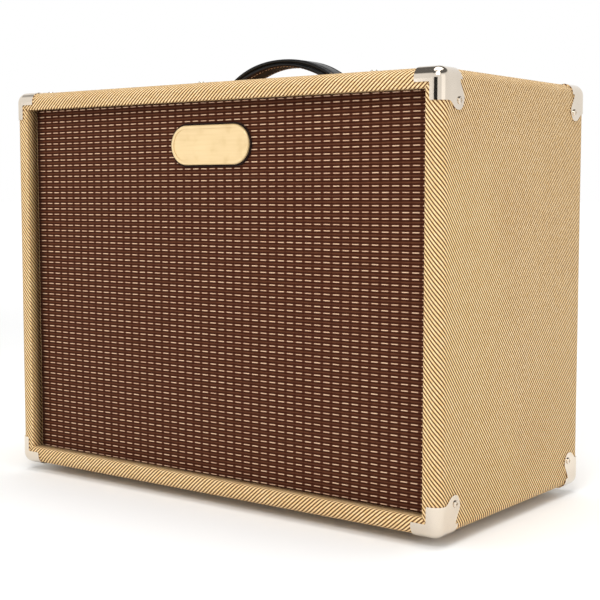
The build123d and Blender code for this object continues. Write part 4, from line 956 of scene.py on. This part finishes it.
def knob_pointers():
    """White line let into the top of each pointer knob."""
    paint = moulded("pointer_line", colour(236, 232, 220), 0.45, 400.0, 0.02, 0.1)
    for name in ("volume", "treble", "bass"):
        low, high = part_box(name + "_knob")
        axis = Matrix.Translation(((low.x + high.x) / 2, CONTROL_Y, high.z))
        bm = bmesh.new()
        add_bar(bm, (-POINTER_WIDTH / 2, POINTER_WIDTH / 2), POINTER_Y, (-0.3 * MM, 0.08 * MM), axis)
        piece = make_object(name + "_pointer_line", finish_bmesh(bm, name), [paint], name + "_control")


# ---------------------------------------------------------------- edges of the CAD pieces
def soften(node, width, segments=2):
    """Round the hard edges of a CAD piece with a modifier."""
    bevel = NODES[node].modifiers.new("edge", "BEVEL")
    bevel.width = width
    bevel.segments = segments
    bevel.limit_method = "ANGLE"
    bevel.angle_limit = math.radians(50)
    for polygon in NODES[node].data.polygons:
        polygon.use_smooth = True


# ---------------------------------------------------------------- stage
def floor():
    """A wide pale floor that turns into the pale surroundings far from the object."""
    bm = bmesh.new()
    lathe(bm, [(radius, 0) for radius in FLOOR_RADII], Matrix.Identity(4), 64, cap=False)
    paint = Paint("floor", Roughness=0.9)
    x, y, _ = paint.split(paint.place())
    far = paint.ease(paint.distance(x, y), 0.5, 3.0)
    near = paint.mix(paint.noise(3.0, 3.0), colour(248, 248, 247), colour(252, 252, 251))
    paint.set("Base Color", paint.mix(far, near, colour(0, 0, 0)))
    paint.set("Emission Color", colour(255, 255, 255))
    paint.set("Emission Strength", far)
    make_object("floor", finish_bmesh(bm, "floor"), [paint.material], None)


def sky():
    """White studio walls all round, under a dim ceiling."""
    world = bpy.data.worlds.new("sky")
    bpy.context.scene.world = world
    world.use_nodes = True
    tree = world.node_tree
    way = tree.nodes.new("ShaderNodeTexCoord").outputs["Generated"]
    height = tree.nodes.new("ShaderNodeSeparateXYZ")
    tree.links.new(way, height.inputs[0])
    dim = tree.nodes.new("ShaderNodeMapRange")
    dim.interpolation_type = "SMOOTHSTEP"
    tree.links.new(height.outputs["Z"], dim.inputs[0])
    for socket, value in zip(dim.inputs[1:5], (WALLS_UP_TO, CEILING_FROM, 1.0, CEILING_LIGHT)):
        socket.default_value = value
    background = tree.nodes["Background"]
    background.inputs["Color"].default_value = (1.0, 1.0, 1.0, 1.0)
    tree.links.new(dim.outputs[0], background.inputs["Strength"])


def area_light(name, place_at, target, size, power, mirrored=True):
    """A softbox turned to a target; polished metal doesn't show one that isn't mirrored."""
    light = bpy.data.lights.new(name, "AREA")
    light.shape = "RECTANGLE"
    light.size, light.size_y = size
    light.energy = power
    lamp = bpy.data.objects.new(name, light)
    lamp.location = place_at
    lamp.rotation_euler = (Vector(target) - Vector(place_at)).to_track_quat("-Z", "Y").to_euler()
    lamp.visible_glossy = mirrored
    bpy.context.scene.collection.objects.link(lamp)


def lights():
    """Soft light from the front, both sides, behind and above."""
    middle = (0, 0, MID_Z)
    area_light("key", (0.9, -2.1, 2.3), middle, (1.5, 1.3), 39)
    area_light("fill", (2.6, -0.9, 0.9), middle, (1.6, 1.6), 3)
    area_light("left_card", (-1.75, -2.25, 0.3), middle, (1.1, 0.9), 3.8)
    area_light("back", (0.4, 2.6, 1.3), middle, (2.0, 1.6), 14, mirrored=False)
    area_light("overhead", (0.1, -0.1, 3.0), (0.1, -0.1, 0), (2.0, 2.0), 50)


def flag():
    """A black cloth in front for the dark line on polished edges; the camera and diffuse light miss it."""
    bm = bmesh.new()
    corners = [(FLAG_R * math.sin(angle), -FLAG_R * math.cos(angle)) for angle in FLAG_ANGLES]
    low, high = [[bm.verts.new((x, y, z)) for x, y in corners] for z in FLAG_Z]
    for index in range(len(corners) - 1):
        bm.faces.new([low[index], low[index + 1], high[index + 1], high[index]])
    mesh = bpy.data.meshes.new("flag")
    bm.to_mesh(mesh)
    bm.free()
    piece = make_object("flag", mesh, [moulded("flag_cloth", colour(8, 8, 8), 0.9, 300.0, 0.1, 0.4)], None)
    piece.visible_camera = False
    piece.visible_diffuse = False


def camera():
    """The camera that the views are made with."""
    data = bpy.data.cameras.new("camera")
    data.sensor_width = 36.0
    data.lens = LENS_MM
    eye = bpy.data.objects.new("camera", data)
    eye.location = EYE
    eye.rotation_euler = [math.radians(turn) for turn in EYE_TURN_DEG]
    bpy.context.scene.collection.objects.link(eye)
    bpy.context.scene.camera = eye


paint_cad_nodes()
for cad_node in ("corner_protectors", "handle_end_caps"):
    soften(cad_node, 0.35 * MM)
tweed_covering()
grille()
strap = strap_line()
handle_strap(strap)
handle_stitching(strap)
loudspeaker_rims()
valves()
panel_marks()
knob_pointers()
floor()
sky()
lights()
flag()
camera()
bpy.context.scene.view_settings.view_transform = "Standard"
